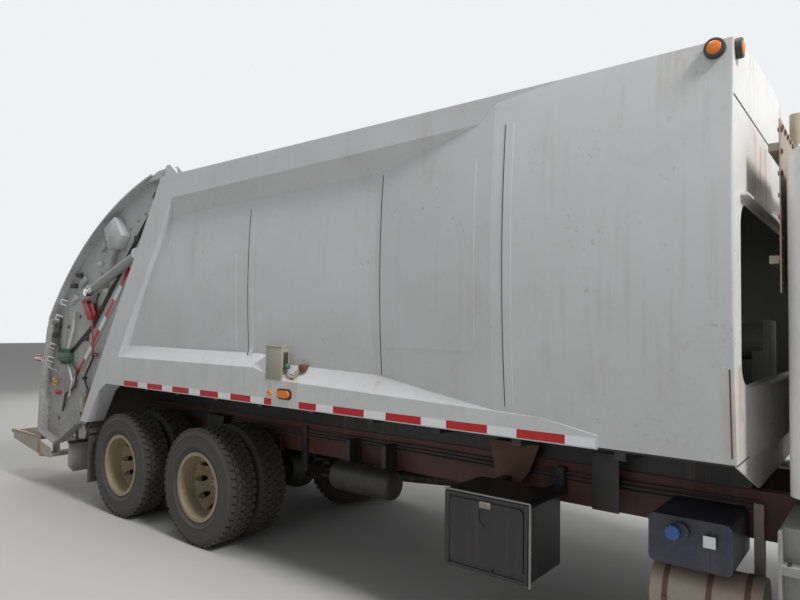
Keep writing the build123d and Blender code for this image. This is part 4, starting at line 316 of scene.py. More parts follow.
# %% A rust run below one place
def build_stain():
    """Mask of a run that starts at X, Y, Z, is Width wide each way and fades over Drop."""
    sizes = [("Amount", 1.0), ("X", 0.0), ("Y", 0.0), ("Z", 0.0), ("Width", 0.1), ("Drop", 0.4)]
    group, enter, leave = effect_group("stain", sizes, ["Mask"])
    place = group.nodes.new("ShaderNodeTexCoord")
    split = group.nodes.new("ShaderNodeSeparateXYZ")
    group.links.new(place.outputs["Object"], split.inputs[0])
    offsets = []
    for label in ("X", "Y"):
        apart = maths_in(group, "SUBTRACT", split.outputs[label], enter.outputs[label], clamp=False)
        offsets.append(maths_in(group, "ABSOLUTE", apart, clamp=False))
    away = maths_in(group, "MAXIMUM", offsets[0], offsets[1], clamp=False)
    share = maths_in(group, "DIVIDE", away, enter.outputs["Width"], clamp=False)
    near = maths_in(group, "SUBTRACT", 1.0, share)
    below = maths_in(group, "SUBTRACT", enter.outputs["Z"], split.outputs["Z"], clamp=False)
    started = steps_in(group, below, -0.01, 0.02)
    fallen = maths_in(group, "DIVIDE", below, enter.outputs["Drop"], clamp=False)
    fading = maths_in(group, "SUBTRACT", 1.0, fallen)
    thin = steps_in(group, noise_in(group, 1.0, 4.0, 0.6, (34.0, 34.0, 1.3)), 0.38, 0.60)
    run = near
    for factor in (started, fading, thin, enter.outputs["Amount"]):
        run = maths_in(group, "MULTIPLY", run, factor)
    group.links.new(run, leave.inputs["Mask"])
    return group


GRIME_AND_SHADE = build_grime_and_shade()
STREAKS = build_streaks()
CHIPS = build_chips()
STAIN = build_stain()
print("effect groups", [g.name for g in (GRIME_AND_SHADE, STREAKS, CHIPS, STAIN)])

# %% [markdown]
# ## Finishes
#
# `weathered` is the recipe for nearly everything on a working truck: a base colour that varies a
# little, rust chips, streaks and grime laid over it, and a roughness that rises where the dirt
# lies. On the tailgate, the front wall and the frame the grime is partly painted shade, and the
# tailgate's and the frame's darkened base colours are painted shade too. Bump comes from fine
# grain and from the chips' edges.

# %% The shared recipe
MATERIALS = {}
STAIN_COLOUR = (0.50, 0.25, 0.05)
BUMP_DISTANCE = 0.004


def place_group(tree, group, **values):
    """A group node with its inputs set, as its Mask output."""
    node = tree.nodes.new("ShaderNodeGroup")
    node.node_tree = group
    for label, value in values.items():
        node.inputs[label].default_value = value
    return node.outputs["Mask"]


def laid_over(tree, below, above, mask):
    """Colour above mixed over colour below by mask. Colours are sockets or RGB values."""
    mix = tree.nodes.new("ShaderNodeMix")
    mix.data_type = "RGBA"
    tree.links.new(mask, mix.inputs["Factor"])
    for socket, value in ((mix.inputs["A"], below), (mix.inputs["B"], above)):
        if isinstance(value, tuple):
            socket.default_value = (*value, 1.0)
        else:
            tree.links.new(value, socket)
    return mix.outputs["Result"]


def weathered(
    name,
    colour,
    variation=0.06,
    roughness=(0.4, 0.75),
    metallic=0.0,
    rust=(0.18, 0.07, 0.03),
    chips=0.4,
    streaks=0.3,
    streak_colour=(0.34, 0.26, 0.17),
    grime_and_shade=0.4,
    grime_and_shade_colour=(0.19, 0.165, 0.135),
    grime_and_shade_top=1.6,
    grain=(60.0, 0.15),
    coat=0.0,
    stains=(),
):
    """A weathered finish, and its material kept in MATERIALS under name."""
    material, shader = new_material(name)
    tree = material.node_tree
    darker = tuple(c * (1.0 - variation) for c in colour)
    lighter = tuple(min(1.0, c * (1.0 + variation)) for c in colour)
    painted = laid_over(tree, darker, lighter, noise_in(tree, 1.4, 4.0))
    chip_mask = place_group(tree, CHIPS, Amount=chips)
    streak_mask = place_group(tree, STREAKS, Amount=streaks)
    # The grime mask darkens towards the bottom: road dirt, and on the tailgate, front wall and frame also
    # painted shade.
    grime_and_shade_mask = place_group(tree, GRIME_AND_SHADE, Amount=grime_and_shade, Top=grime_and_shade_top)
    dirty_and_shaded = laid_over(tree, painted, rust, chip_mask)
    dirty_and_shaded = laid_over(tree, dirty_and_shaded, streak_colour, streak_mask)
    dirty_and_shaded = laid_over(tree, dirty_and_shaded, grime_and_shade_colour, grime_and_shade_mask)
    for distance, y, z, width, drop, amount in stains:
        place = {"X": ahead(distance), "Y": y, "Z": z, "Width": width, "Drop": drop}
        dirty_and_shaded = laid_over(tree, dirty_and_shaded, STAIN_COLOUR, place_group(tree, STAIN, Amount=amount, **place))
    tree.links.new(dirty_and_shaded, shader.inputs["Base Color"])
    worn = maths_in(tree, "ADD", chip_mask, grime_and_shade_mask)
    tree.links.new(steps_in(tree, worn, 0.0, 1.0, *roughness), shader.inputs["Roughness"])
    if metallic:
        bare = maths_in(tree, "SUBTRACT", metallic, worn)
        tree.links.new(bare, shader.inputs["Metallic"])
    bump = tree.nodes.new("ShaderNodeBump")
    bump.inputs["Strength"].default_value = grain[1]
    bump.inputs["Distance"].default_value = BUMP_DISTANCE
    sunk = maths_in(tree, "MULTIPLY", chip_mask, 0.5)
    relief = maths_in(tree, "SUBTRACT", noise_in(tree, grain[0], 5.0), sunk)
    tree.links.new(relief, bump.inputs["Height"])
    tree.links.new(bump.outputs["Normal"], shader.inputs["Normal"])
    shader.inputs["Coat Weight"].default_value = coat
    MATERIALS[name] = material
    return material


# %% Paints and metals
SIDE_STAINS = (
    (1.24, -1.19, 1.63, 0.07, 0.36, 1.0),
    (2.05, -1.18, 1.66, 0.03, 0.22, 1.0),
    (0.98, -1.21, 1.50, 0.03, 0.16, 1.0),
    (4.26, -1.22, 1.80, 0.04, 0.50, 1.0),
    (0.60, -1.18, 1.62, 0.03, 0.20, 0.8),
)
WALL_STAINS = (
    (4.29, -0.46, 3.02, 0.12, 0.60, 1.0),
    (4.29, -0.66, 3.06, 0.08, 0.45, 1.0),
    (4.29, -0.30, 3.05, 0.08, 0.66, 1.0),
    (4.29, -1.13, 1.80, 0.10, 0.60, 1.0),
    (4.29, 0.35, 3.04, 0.09, 0.50, 1.0),
)
weathered(
    "body_white", (0.66, 0.67, 0.68), 0.035, (0.36, 0.7), chips=0.35, grime_and_shade=0.3, grime_and_shade_top=1.9,
    grain=(7.0, 0.05), stains=SIDE_STAINS
)
# The rust streaks and stains are real. The heavy grime on the low panel under the opening is partly dirt
# and partly painted shade.
weathered(
    "front_white_rust_and_shade", (0.80, 0.80, 0.78), 0.03, (0.35, 0.7), chips=0.7, streaks=0.6,
    streak_colour=(0.42, 0.22, 0.06), grime_and_shade=0.5, grime_and_shade_top=2.1, stains=WALL_STAINS
)
weathered(
    "cab_white", (0.78, 0.79, 0.78), 0.02, (0.22, 0.6), chips=0.15, streaks=0.15, grime_and_shade=0.35,
    grime_and_shade_top=1.3, grain=(160.0, 0.02), coat=0.4
)
# Darker grey-blue base than the side's paint and dark grime reaching almost to the top: dirt and rust, and
# also painted shade over the whole tailgate.
weathered(
    "tail_white_with_painted_shade", (0.56, 0.57, 0.58), 0.10, (0.36, 0.8), chips=0.9, rust=(0.10, 0.06, 0.035),
    streaks=0.9, streak_colour=(0.15, 0.125, 0.10), grime_and_shade=0.75, grime_and_shade_colour=(0.15, 0.135, 0.12),
    grime_and_shade_top=3.4, grain=(18.0, 0.1)
)
# Near-black maroon base and dark grime: the frame's own dirty paint, darkened further as painted shade
# under the body.
weathered(
    "frame_maroon", (0.085, 0.02, 0.014), 0.3, (0.5, 0.85), chips=0.8, rust=(0.13, 0.05, 0.02),
    grime_and_shade=0.55, grime_and_shade_colour=(0.075, 0.06, 0.048), grime_and_shade_top=1.5
)
weathered(
    "chassis_black", (0.018, 0.018, 0.019), 0.25, (0.45, 0.85), chips=0.45,
    rust=(0.10, 0.045, 0.02), grime_and_shade=0.5, grime_and_shade_colour=(0.07, 0.06, 0.05), grime_and_shade_top=1.3
)
weathered(
    "worn_steel", (0.17, 0.14, 0.12), 0.3, (0.4, 0.85), metallic=0.6, chips=0.9,
    rust=(0.2, 0.085, 0.035), streaks=0.6, grime_and_shade_top=2.2, grain=(45.0, 0.3)
)
weathered("stack_steel", (0.5, 0.49, 0.46), 0.12, (0.3, 0.7), metallic=0.85, chips=0.5, grime_and_shade=0.3)
weathered("barrel_grey", (0.36, 0.37, 0.37), 0.1, (0.38, 0.75), chips=0.5, grime_and_shade_top=2.8)
weathered(
    "bumper_steel", (0.62, 0.62, 0.63), 0.05, (0.12, 0.5), metallic=0.95, chips=0.2, streaks=0.1,
    grime_and_shade=0.3, grain=(120.0, 0.02)
)
weathered(
    "tank_aluminium", (0.62, 0.63, 0.64), 0.06, (0.25, 0.6), metallic=0.9, chips=0.1, streaks=0.2,
    grain=(90.0, 0.05)
)
weathered(
    "rod_chrome", (0.72, 0.72, 0.73), 0.03, (0.08, 0.4), metallic=1.0, chips=0.1, streaks=0.05,
    grime_and_shade=0.15, grain=(150.0, 0.01)
)
weathered("step_cream", (0.5, 0.47, 0.39), 0.12, (0.5, 0.85), chips=0.8, grime_and_shade=0.6, grime_and_shade_top=1.3)
weathered(
    "rim_cream", (0.42, 0.34, 0.21), 0.3, (0.5, 0.85), chips=1.0, rust=(0.20, 0.09, 0.035),
    streaks=0.8, streak_colour=(0.24, 0.13, 0.05), grime_and_shade=0.65, grime_and_shade_top=1.3, grain=(50.0, 0.2)
)
weathered(
    "plastic_black", (0.02, 0.02, 0.021), 0.15, (0.38, 0.7), chips=0.0, streaks=0.1, grime_and_shade=0.35,
    grime_and_shade_top=1.4, grain=(220.0, 0.25)
)
weathered(
    "flap_rubber", (0.022, 0.022, 0.022), 0.2, (0.6, 0.9), chips=0.0, grime_and_shade=0.7, grime_and_shade_top=1.2,
    grain=(150.0, 0.2)
)
weathered(
    "tyre_rubber", (0.03, 0.029, 0.028), 0.25, (0.7, 0.92), chips=0.0, streaks=0.0, grime_and_shade=0.55,
    grime_and_shade_top=1.3, grime_and_shade_colour=(0.11, 0.10, 0.085), grain=(120.0, 0.35)
)
weathered("lever_red", (0.42, 0.02, 0.018), 0.12, (0.35, 0.75), chips=0.6, grime_and_shade_top=2.4)
weathered("knob_yellow", (0.62, 0.42, 0.02), 0.1, (0.4, 0.75), chips=0.3, grime_and_shade=0.3, grime_and_shade_top=2.0)
weathered(
    "hose_black", (0.025, 0.025, 0.027), 0.2, (0.5, 0.8), chips=0.0, grime_and_shade=0.35, grime_and_shade_top=2.4,
    grain=(300.0, 0.4)
)
weathered("hose_white", (0.68, 0.68, 0.65), 0.08, (0.45, 0.8), chips=0.1, grime_and_shade=0.35, grime_and_shade_top=2.4)
weathered(
    "seat_fabric", (0.07, 0.072, 0.08), 0.3, (0.8, 0.95), chips=0.0, streaks=0.0, grime_and_shade=0.1,
    grain=(420.0, 0.5)
)
# Plain black for seams, links and small black parts, and also painted shade in holes, slots, perforations
# and vent slots.
weathered(
    "seam_black_and_hole_shade", (0.035, 0.032, 0.03), 0.3, (0.6, 0.9), chips=0.6, rust=(0.22, 0.1, 0.04),
    grime_and_shade=0.2
)
weathered("bolt_steel", (0.30, 0.25, 0.2), 0.2, (0.4, 0.8), metallic=0.7, chips=0.6, grime_and_shade=0.3)
weathered("tank_navy", (0.012, 0.02, 0.05), 0.2, (0.35, 0.7), chips=0.0, grime_and_shade=0.45, grime_and_shade_top=1.3)
weathered("cap_blue", (0.02, 0.12, 0.42), 0.1, (0.35, 0.7), chips=0.1, grime_and_shade=0.3, grime_and_shade_top=1.3)
weathered(
    "tape_red", (0.50, 0.006, 0.014), 0.06, (0.3, 0.7), chips=0.2, rust=(0.25, 0.2, 0.16),
    streaks=0.1, grime_and_shade=0.12, grime_and_shade_top=2.0
)
weathered(
    "tape_pale", (0.84, 0.86, 0.88), 0.05, (0.3, 0.7), chips=0.2, rust=(0.25, 0.2, 0.16),
    streaks=0.2, grime_and_shade=0.12, grime_and_shade_top=2.0
)
weathered("box_beige", (0.36, 0.35, 0.29), 0.1, (0.45, 0.8), chips=0.8, streaks=0.6, grime_and_shade_top=2.2)
weathered("valve_green", (0.02, 0.09, 0.05), 0.2, (0.4, 0.75), chips=0.3, grime_and_shade=0.5, grime_and_shade_top=2.4)
weathered("rust_brown", (0.14, 0.055, 0.03), 0.3, (0.6, 0.9), chips=0.7, rust=(0.28, 0.13, 0.05))
weathered("wood_yellow", (0.34, 0.24, 0.11), 0.2, (0.6, 0.85), chips=0.6, grime_and_shade_top=1.3)
weathered(
    "toolbox_black", (0.011, 0.012, 0.014), 0.15, (0.34, 0.62), chips=0.1, streaks=0.12, grime_and_shade=0.22,
    grime_and_shade_colour=(0.08, 0.07, 0.06), grime_and_shade_top=1.2, coat=0.1
)
# Grey for the glossy black lid's top and front edges: a painted highlight where they catch the light.
weathered(
    "lid_edge_highlight", (0.30, 0.30, 0.29), 0.2, (0.4, 0.8), chips=0.5, streaks=0.2, grime_and_shade=0.5,
    grime_and_shade_top=1.3
)
weathered(
    "exhaust_rust", (0.40, 0.34, 0.27), 0.3, (0.5, 0.85), metallic=0.4, chips=1.0,
    rust=(0.30, 0.12, 0.05), streaks=0.7, streak_colour=(0.16, 0.07, 0.035)
)
weathered(
    "flap_grey", (0.36, 0.355, 0.34), 0.12, (0.6, 0.9), chips=0.2, streaks=0.5, grime_and_shade=0.5,
    grime_and_shade_top=1.1
)
print("weathered finishes", len(MATERIALS))


# %% [markdown]
# Lamps and glass are clear materials, so they keep plain numbers on the shader itself: colour
# varies only a little with dust, and the rest is the glass.

# %% Glass and lenses
DUST_COLOUR = (0.30, 0.28, 0.25)
DUST_ROUGHNESS = 0.35


def clear_material(name, colour, roughness, transmission, alpha=1.0, emission=0.0, dust=0.2):
    """Glass, mirror or coloured lens with a thin film of dust."""
    material, shader = new_material(name)
    tree = material.node_tree
    dusty = place_group(tree, GRIME_AND_SHADE, Amount=dust, Top=3.0)
    film = laid_over(tree, colour, DUST_COLOUR, dusty)
    tree.links.new(film, shader.inputs["Base Color"])
    rough = steps_in(tree, dusty, 0.0, 1.0, roughness, roughness + DUST_ROUGHNESS)
    tree.links.new(rough, shader.inputs["Roughness"])
    shader.inputs["Transmission Weight"].default_value = transmission
    shader.inputs["Alpha"].default_value = alpha
    if emission:
        shader.inputs["Emission Color"].default_value = (*colour, 1.0)
        shader.inputs["Emission Strength"].default_value = emission
    MATERIALS[name] = material
    return material


clear_material("clear_glass", (0.20, 0.26, 0.25), 0.03, 0.0, alpha=0.27, dust=0.12)
clear_material("lamp_clear", (0.80, 0.82, 0.83), 0.08, 0.35, dust=0.2)
clear_material("lamp_amber", (0.82, 0.22, 0.01), 0.18, 0.1, emission=0.08)
clear_material("lamp_red", (0.50, 0.012, 0.01), 0.18, 0.1, emission=0.05)
mirror_face = clear_material("mirror_face", (0.80, 0.82, 0.84), 0.02, 0.0, dust=0.1)
mirror_face.node_tree.nodes["Principled BSDF"].inputs["Metallic"].default_value = 1.0

# %% [markdown]
# ## Finishes on the CAD parts
#
# Each CAD node keeps its shape and gets one finish. The record's slots say which material class
# a node is, and the front wall and tailgate get their own paints because they have rusted and
# scuffed more than the smooth side, and because both carry painted shade: the tailgate all over,
# the front wall low down.

# %% Dress the CAD nodes
FINISH_OF = {
    "front_wall": "front_white_rust_and_shade",
    "tailgate_sides": "tail_white_with_painted_shade",
    "tailgate_cover": "tail_white_with_painted_shade",
    "rear_posts": "body_white",
    "def_tank": "tank_navy",
    "lift_barrels": "barrel_grey",
    "blade_barrels": "barrel_grey",
    "air_tanks": "chassis_black",
    "riding_steps": "step_cream",
    "step_box": "barrel_grey",
    "body_floor": "chassis_black",
    "exhaust": "exhaust_rust",
    "toolbox": "toolbox_black",
    "toolbox_door": "toolbox_black",
}
SLOT_FINISH = {"tyre_black": "tyre_rubber", "flap_rubber": "flap_rubber"}

slot_of = {part["node"]: part["material_slot"] for part in frame["record"]["subparts"]}
for node_name, node in nodes.items():
    slot_name = slot_of[node_name]
    finish = FINISH_OF.get(node_name) or SLOT_FINISH.get(slot_name) or slot_name
    node.data.materials.clear()
    node.data.materials.append(MATERIALS[finish])
print("dressed", len(nodes), "CAD nodes")

# %% [markdown]
# ## Helpers for new pieces
#
# New pieces are small forms built with bmesh operators in one mesh each. These helpers add a
# box, a rod or tube between points, a ball, a flat plate or a bolt head to a mesh that is being
# built, and `finish_piece` turns it into an object that rides on a body of the truck.

# %% Forms added to a mesh
SHARP_ANGLE = radians(35.0)


def round_edges(form, verts, offset):
    """Rounds every edge that meets one of the points."""
    edges = list({edge for vert in verts for edge in vert.link_edges})
    bmesh.ops.bevel(
        form, geom=edges, offset=offset, affect="EDGES", segments=2, profile=0.5, material=-1
    )


def size_and_middle(low, high):
    """Lengths and middle of the box between two corners."""
    return [b - a for a, b in zip(low, high)], [(a + b) / 2.0 for a, b in zip(low, high)]


def standing_at(place, along):
    """The matrix that puts a form's own Z along a direction, at a place."""
    return Matrix.Translation(place) @ along.to_track_quat("Z", "Y").to_matrix().to_4x4()


def spin_outline(form, outline, axis, steps):
    """An outline's points joined in order and turned once round an axis through the origin."""
    verts = [form.verts.new(point) for point in outline]
    edges = [form.edges.new(pair) for pair in zip(verts, verts[1:])]
    bmesh.ops.spin(
        form, geom=verts + edges, cent=(0.0, 0.0, 0.0), axis=axis, angle=2.0 * pi, steps=steps,
        use_merge=True,
    )


def around(count, radius):
    """Places on a circle about zero, as pairs."""
    turns = [2.0 * pi * index / count for index in range(count)]
    return [(radius * cos(turn), radius * sin(turn)) for turn in turns]


def add_box(form, low, high, bevel=0.0):
    """A box between two corners, with its edges rounded by bevel."""
    made = bmesh.ops.create_cube(form, size=1.0)
    size, middle = size_and_middle(low, high)
    bmesh.ops.scale(form, vec=size, verts=made["verts"])
    bmesh.ops.translate(form, vec=middle, verts=made["verts"])
    if bevel:
        round_edges(form, made["verts"], bevel)


def add_rod(form, start, end, radius, sides=16, end_radius=None):
    """A capped rod or cone between two points."""
    a, b = Vector(start), Vector(end)
    along = b - a
    made = bmesh.ops.create_cone(
        form,
        cap_ends=True,
        segments=sides,
        radius1=radius,
        radius2=radius if end_radius is None else end_radius,
        depth=along.length,
    )
    bmesh.ops.transform(form, matrix=standing_at((a + b) / 2.0, along), verts=made["verts"])


def add_ball(form, place, radius, sides=12):
    """A ball about place."""
    made = bmesh.ops.create_uvsphere(form, u_segments=sides, v_segments=sides // 2 + 2, radius=radius)
    bmesh.ops.translate(form, vec=place, verts=made["verts"])


def add_bolt(form, place, normal, radius=0.012, height=0.008):
    """A hexagon bolt head on a washer, standing on place along normal."""
    out = Vector(normal).normalized()
    foot = Vector(place)
    add_rod(form, foot, foot + out * height * 0.3, radius * 1.5, 14)
    add_rod(form, foot + out * height * 0.3, foot + out * height, radius, 6)


def add_tube(form, points, radius, sides=10):
    """A bent tube as rods between points with a ball at each corner."""
    for start, end in zip(points, points[1:]):
        add_rod(form, start, end, radius, sides)
    for corner in points[1:-1]:
        add_ball(form, corner, radius * 1.01, sides)


def add_slab(form, outline, thickness, bevel=0.0):
    """A flat plate: outline's points in order, extruded by the thickness vector."""
    verts = [form.verts.new(point) for point in outline]
    face = form.faces.new(verts)
    made = bmesh.ops.extrude_face_region(form, geom=[face])
    far = [item for item in made["geom"] if isinstance(item, bmesh.types.BMVert)]
    bmesh.ops.translate(form, vec=thickness, verts=far)
    every = verts + far
    bmesh.ops.recalc_face_normals(form, faces=list({f for v in every for f in v.link_faces}))
    if bevel:
        round_edges(form, every, bevel)


def mirror_left(form):
    """Copies everything in the form to the other side of the truck."""
    geometry = form.verts[:] + form.edges[:] + form.faces[:]
    bmesh.ops.mirror(form, geom=geometry, matrix=Matrix.Identity(4), merge_dist=-1.0, axis="Y")


def finish_piece(name, form, body, finish, both=False):
    """Ends a form: normals, shading by angle, finish and body.

    both mirrors it to the other side first.
    """
    if both:
        mirror_left(form)
    bmesh.ops.recalc_face_normals(form, faces=form.faces[:])
    mesh = bpy.data.meshes.new(name)
    form.to_mesh(mesh)
    form.free()
    mesh.materials.append(MATERIALS[finish])
    piece = new_object(name, mesh)
    mesh.shade_smooth()
    mesh.set_sharp_from_angle(angle=SHARP_ANGLE)
    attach(piece, body)
    print(name, len(mesh.polygons), "faces on", body)
    return piece


# %% [markdown]
# ## Tyres
#
# A drive tyre has deep blocks in staggered rows, a steer tyre has ribs with straight grooves.
# The carcass is a profile spun round the axle. Its tread surface is sunk, and the blocks or
# ribs bring it back to the CAD tyre's size, so the tyre still stands exactly on the floor.

# %% Tyre carcass and tread
TYRE_RADIUS = 0.515
TREAD_DEPTH = 0.016
BEAD_RADIUS = 0.288
CARCASS_STEPS = 96


def add_carcass(form, centre_y, width):
    """Sidewalls with two raised rings and a sunk tread face, spun about the axle."""
    half = width / 2.0
    profile = [
        (BEAD_RADIUS, 0.112),
        (0.306, 0.114),
        (0.318, half - 0.022),
        (0.345, half - 0.006),
        (0.350, half - 0.002),
        (0.358, half - 0.002),
        (0.363, half - 0.004),
        (0.405, half),
        (0.448, half - 0.004),
        (0.452, half - 0.001),
        (0.462, half - 0.003),
        (0.482, half - 0.012),
        (TYRE_RADIUS - TREAD_DEPTH, half - 0.024),
        (TYRE_RADIUS - TREAD_DEPTH + 0.002, half * 0.4),
    ]
    outline = profile + [(radius, -y) for radius, y in reversed(profile)]
    outline = [(0.0, centre_y + y, radius) for radius, y in outline]
    spin_outline(form, outline, (0.0, 1.0, 0.0), CARCASS_STEPS)


def add_blocks(form, centre_y, rows, count, depth):
    """Rows of tread blocks. Each row is (middle, width, length share, skew, phase)."""
    outer = TYRE_RADIUS - 0.0008
    for middle, width, share, skew, phase in rows:
        length = 2.0 * pi * outer / count * share
        for index in range(count):
            made = bmesh.ops.create_cube(form, size=1.0)
            verts = made["verts"]
            bmesh.ops.scale(form, vec=(length, width, depth), verts=verts)
            for vert in verts:
                vert.co.x += vert.co.y * skew
                if vert.co.z > 0:
                    vert.co.x *= 0.93
                    vert.co.y *= 0.95
            bmesh.ops.translate(form, vec=(0.0, centre_y + middle, outer - depth / 2.0), verts=verts)
            turned = Matrix.Rotation(2.0 * pi * (index + phase) / count, 3, "Y")
            bmesh.ops.rotate(form, cent=(0.0, 0.0, 0.0), matrix=turned, verts=verts)


DRIVE_ROWS = [
    (-0.101, 0.046, 0.72, 0.25, 0.0),
    (-0.050, 0.044, 0.76, -0.35, 0.5),
    (0.000, 0.042, 0.76, 0.35, 0.15),
    (0.050, 0.044, 0.76, -0.35, 0.65),
    (0.101, 0.046, 0.72, 0.25, 0.3),
]
STEER_ROWS = [
    (-0.100, 0.052, 0.985, 0.0, 0.0),
    (-0.042, 0.046, 0.985, 0.0, 0.4),
    (0.014, 0.046, 0.985, 0.0, 0.7),
    (0.062, 0.034, 0.985, 0.0, 0.2),
    (0.104, 0.040, 0.985, 0.0, 0.5),
]
DRIVE_COUNT = 46
STEER_COUNT = 60
OUTER_DUAL_Y = 1.07
INNER_DUAL_Y = 0.735
FRONT_TYRE_Y = 1.03
DRIVE_WIDTH = 0.28
STEER_WIDTH = 0.30
SIDES = (("left", 1.0), ("right", -1.0))
DRIVE_AXLES = ((1, ahead(0.0)), (2, ahead(-AXLE_SPACING)))


def build_tyres(name, body, replaced, axle_x, centres, width, rows, count):
    """One or two tyres on one wheel's body, in place of the CAD tyres."""
    form = bmesh.new()
    for centre in centres:
        add_carcass(form, centre, width)
        add_blocks(form, centre, rows, count, TREAD_DEPTH + 0.004)
    bmesh.ops.translate(form, vec=(axle_x, 0.0, AXLE_Z), verts=form.verts[:])
    piece = finish_piece(name, form, body, "tyre_rubber")
    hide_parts(replaced)


for number, axle_x in DRIVE_AXLES:
    for side, sign in SIDES:
        wheel = "%d_%s" % (number, side)
        duals = [sign * OUTER_DUAL_Y, sign * INNER_DUAL_Y]
        build_tyres(
            "drive_tyres_" + wheel, "wheels_" + wheel, "tyres_axle_" + wheel, axle_x, duals,
            DRIVE_WIDTH, DRIVE_ROWS, DRIVE_COUNT,
        )
for side, sign in SIDES:
    build_tyres(
        "steer_tyre_" + side, "front_wheel_" + side, "front_tyre_" + side, ahead(FRONT_AXLE),
        [sign * FRONT_TYRE_Y], STEER_WIDTH, STEER_ROWS, STEER_COUNT,
    )

# %% [markdown]
# ## Finding the skin
#
# The shell bulges and flares, so seams, tape and patches can't be placed by one number. A ray is
# sent in from the curb side at each point, and the sheet is pressed onto what the ray meets.

# %% The curb side as a surface
bpy.context.view_layer.update()


def surface_of(names):
    """CAD nodes as one tree that rays can be cast on."""
    verts = []
    faces = []
    for name in names:
        base = len(verts)
        node = nodes[name]
        verts += [node.matrix_world @ vert.co for vert in node.data.vertices]
        faces += [[base + index for index in polygon.vertices] for polygon in node.data.polygons]
    return BVHTree.FromPolygons(verts, faces)


BODY_SKIN = surface_of(["body_shell", "body_rails", "rear_posts"])
INWARD = Vector((0.0, 1.0, 0.0))
RAY_START_Y = -2.0
SHEET_SINK = 0.0004


def skin_y(surface, x, z, otherwise=-BODY_HALF):
    """Y of the first skin met from the curb side at (x, z)."""
    hit = surface.ray_cast(Vector((x, RAY_START_Y, z)), INWARD)[0]
    return hit.y if hit else otherwise


def lay_sheet(form, surface, x, z, length, height, thickness=0.002, cells=(1, 1), turn=0.0):
    """A sheet pressed onto the curb side: a grid moved onto the skin, then extruded outwards."""
    made = bmesh.ops.create_grid(form, x_segments=cells[0], y_segments=cells[1], size=0.5)
    verts = made["verts"]
    bmesh.ops.scale(form, vec=(length, height, 1.0), verts=verts)
    bmesh.ops.rotate(form, matrix=Matrix.Rotation(turn, 3, "Z"), verts=verts)
    bmesh.ops.rotate(form, matrix=Matrix.Rotation(pi / 2.0, 3, "X"), verts=verts)
    bmesh.ops.translate(form, vec=(x, 0.0, z), verts=verts)
    for vert in verts:
        vert.co.y = skin_y(surface, vert.co.x, vert.co.z) + SHEET_SINK
    faces = list({face for vert in verts for face in vert.link_faces})
    raised = bmesh.ops.extrude_face_region(form, geom=faces)
    outer = [item for item in raised["geom"] if isinstance(item, bmesh.types.BMVert)]
    bmesh.ops.translate(form, vec=(0.0, -thickness, 0.0), verts=outer)


# %% [markdown]
# ## Seams and patches of the shell
#
# The side is made of sheets lapped at three upright seams, each opened a little by years of
# pressing, with dark rust in the joint. Two repair plates have been laid on, and the front edge
# shows a line of rust near its foot.

# %% Seams, laps and the repair plates
SEAMS = ((0.61, 1.70, 2.93, 0.007), (2.06, 1.62, 3.02, 0.007), (3.07, 1.50, 3.17, 0.004))
seams = bmesh.new()
laps = bmesh.new()
for place, low, high, gap in SEAMS:
    middle, tall = (low + high) / 2.0, high - low
    lay_sheet(seams, BODY_SKIN, ahead(place), middle, gap, tall, 0.003, (1, 24))
    lay_sheet(laps, BODY_SKIN, ahead(place + 0.030), middle, 0.052, tall, 0.0022, (1, 24))
lay_sheet(laps, BODY_SKIN, ahead(2.49), 2.40, 0.76, 1.17, 0.0030, (8, 14))
lay_sheet(laps, BODY_SKIN, ahead(0.02), 2.15, 0.86, 0.82, 0.0025, (8, 8))
rust_edge = bmesh.new()
lay_sheet(rust_edge, BODY_SKIN, ahead(4.268), 1.57, 0.007, 0.42, 0.0022, (1, 8))
finish_piece("shell_seams", seams, "chassis", "seam_black_and_hole_shade", both=True)
finish_piece("rust_edge", rust_edge, "chassis", "rust_brown", both=True)
finish_piece("shell_laps", laps, "chassis", "body_white", both=True)

# %% [markdown]
# ## Striped tape
#
# Red and white reflective tape runs along the lower edge of the floor rail, in two lengths with
# the side lamps between them, and down the tailgate's diagonal rib.

# %% Tape along the rail and down the rib
TAPE_Z = 1.352
TAPE_HEIGHT = 0.05
TAPE_THICKNESS = 0.0012
TAPE_RUNS = ((-1.247, 1.0, 0.262, 0.17), (1.315, 1.68, 0.185, 0.18), (1.676, 3.61, 0.295, 0.195))
RIB_TOP = (-0.775, 3.24)
RIB_LOW = (-2.89, 0.945)
RIB_FACE = -1.102
RIB_TAPE_HALF = 0.026
tape_red = bmesh.new()
tape_pale = bmesh.new()


def rail_strip(form, start, stop):
    """A strip on the floor rail between two distances ahead of the drive axle."""
    middle = ahead((start + stop) / 2.0)
    lay_sheet(form, BODY_SKIN, middle, TAPE_Z, stop - start, TAPE_HEIGHT, TAPE_THICKNESS, (2, 1))


for start, end, red, pale in TAPE_RUNS:
    place = start
    while place < end:
        stop = min(place + red, end)
        rail_strip(tape_red, place, stop)
        if stop + 0.02 < end:
            rail_strip(tape_pale, stop, min(stop + pale, end))
        place = stop + pale


def rib_strip(form, start, stop):
    """A strip on the diagonal rib between two distances from its top."""
    run = Vector((RIB_LOW[0] - RIB_TOP[0], 0.0, RIB_LOW[1] - RIB_TOP[1])).normalized()
    cross = Vector((-run.z, 0.0, run.x)) * RIB_TAPE_HALF
    rib_top = at(RIB_TOP[0], RIB_FACE, RIB_TOP[1])
    first, last = rib_top + run * start, rib_top + run * stop
    corners = [first + cross, last + cross, last - cross, first - cross]
    add_slab(form, corners, (0.0, -TAPE_THICKNESS, 0.0))


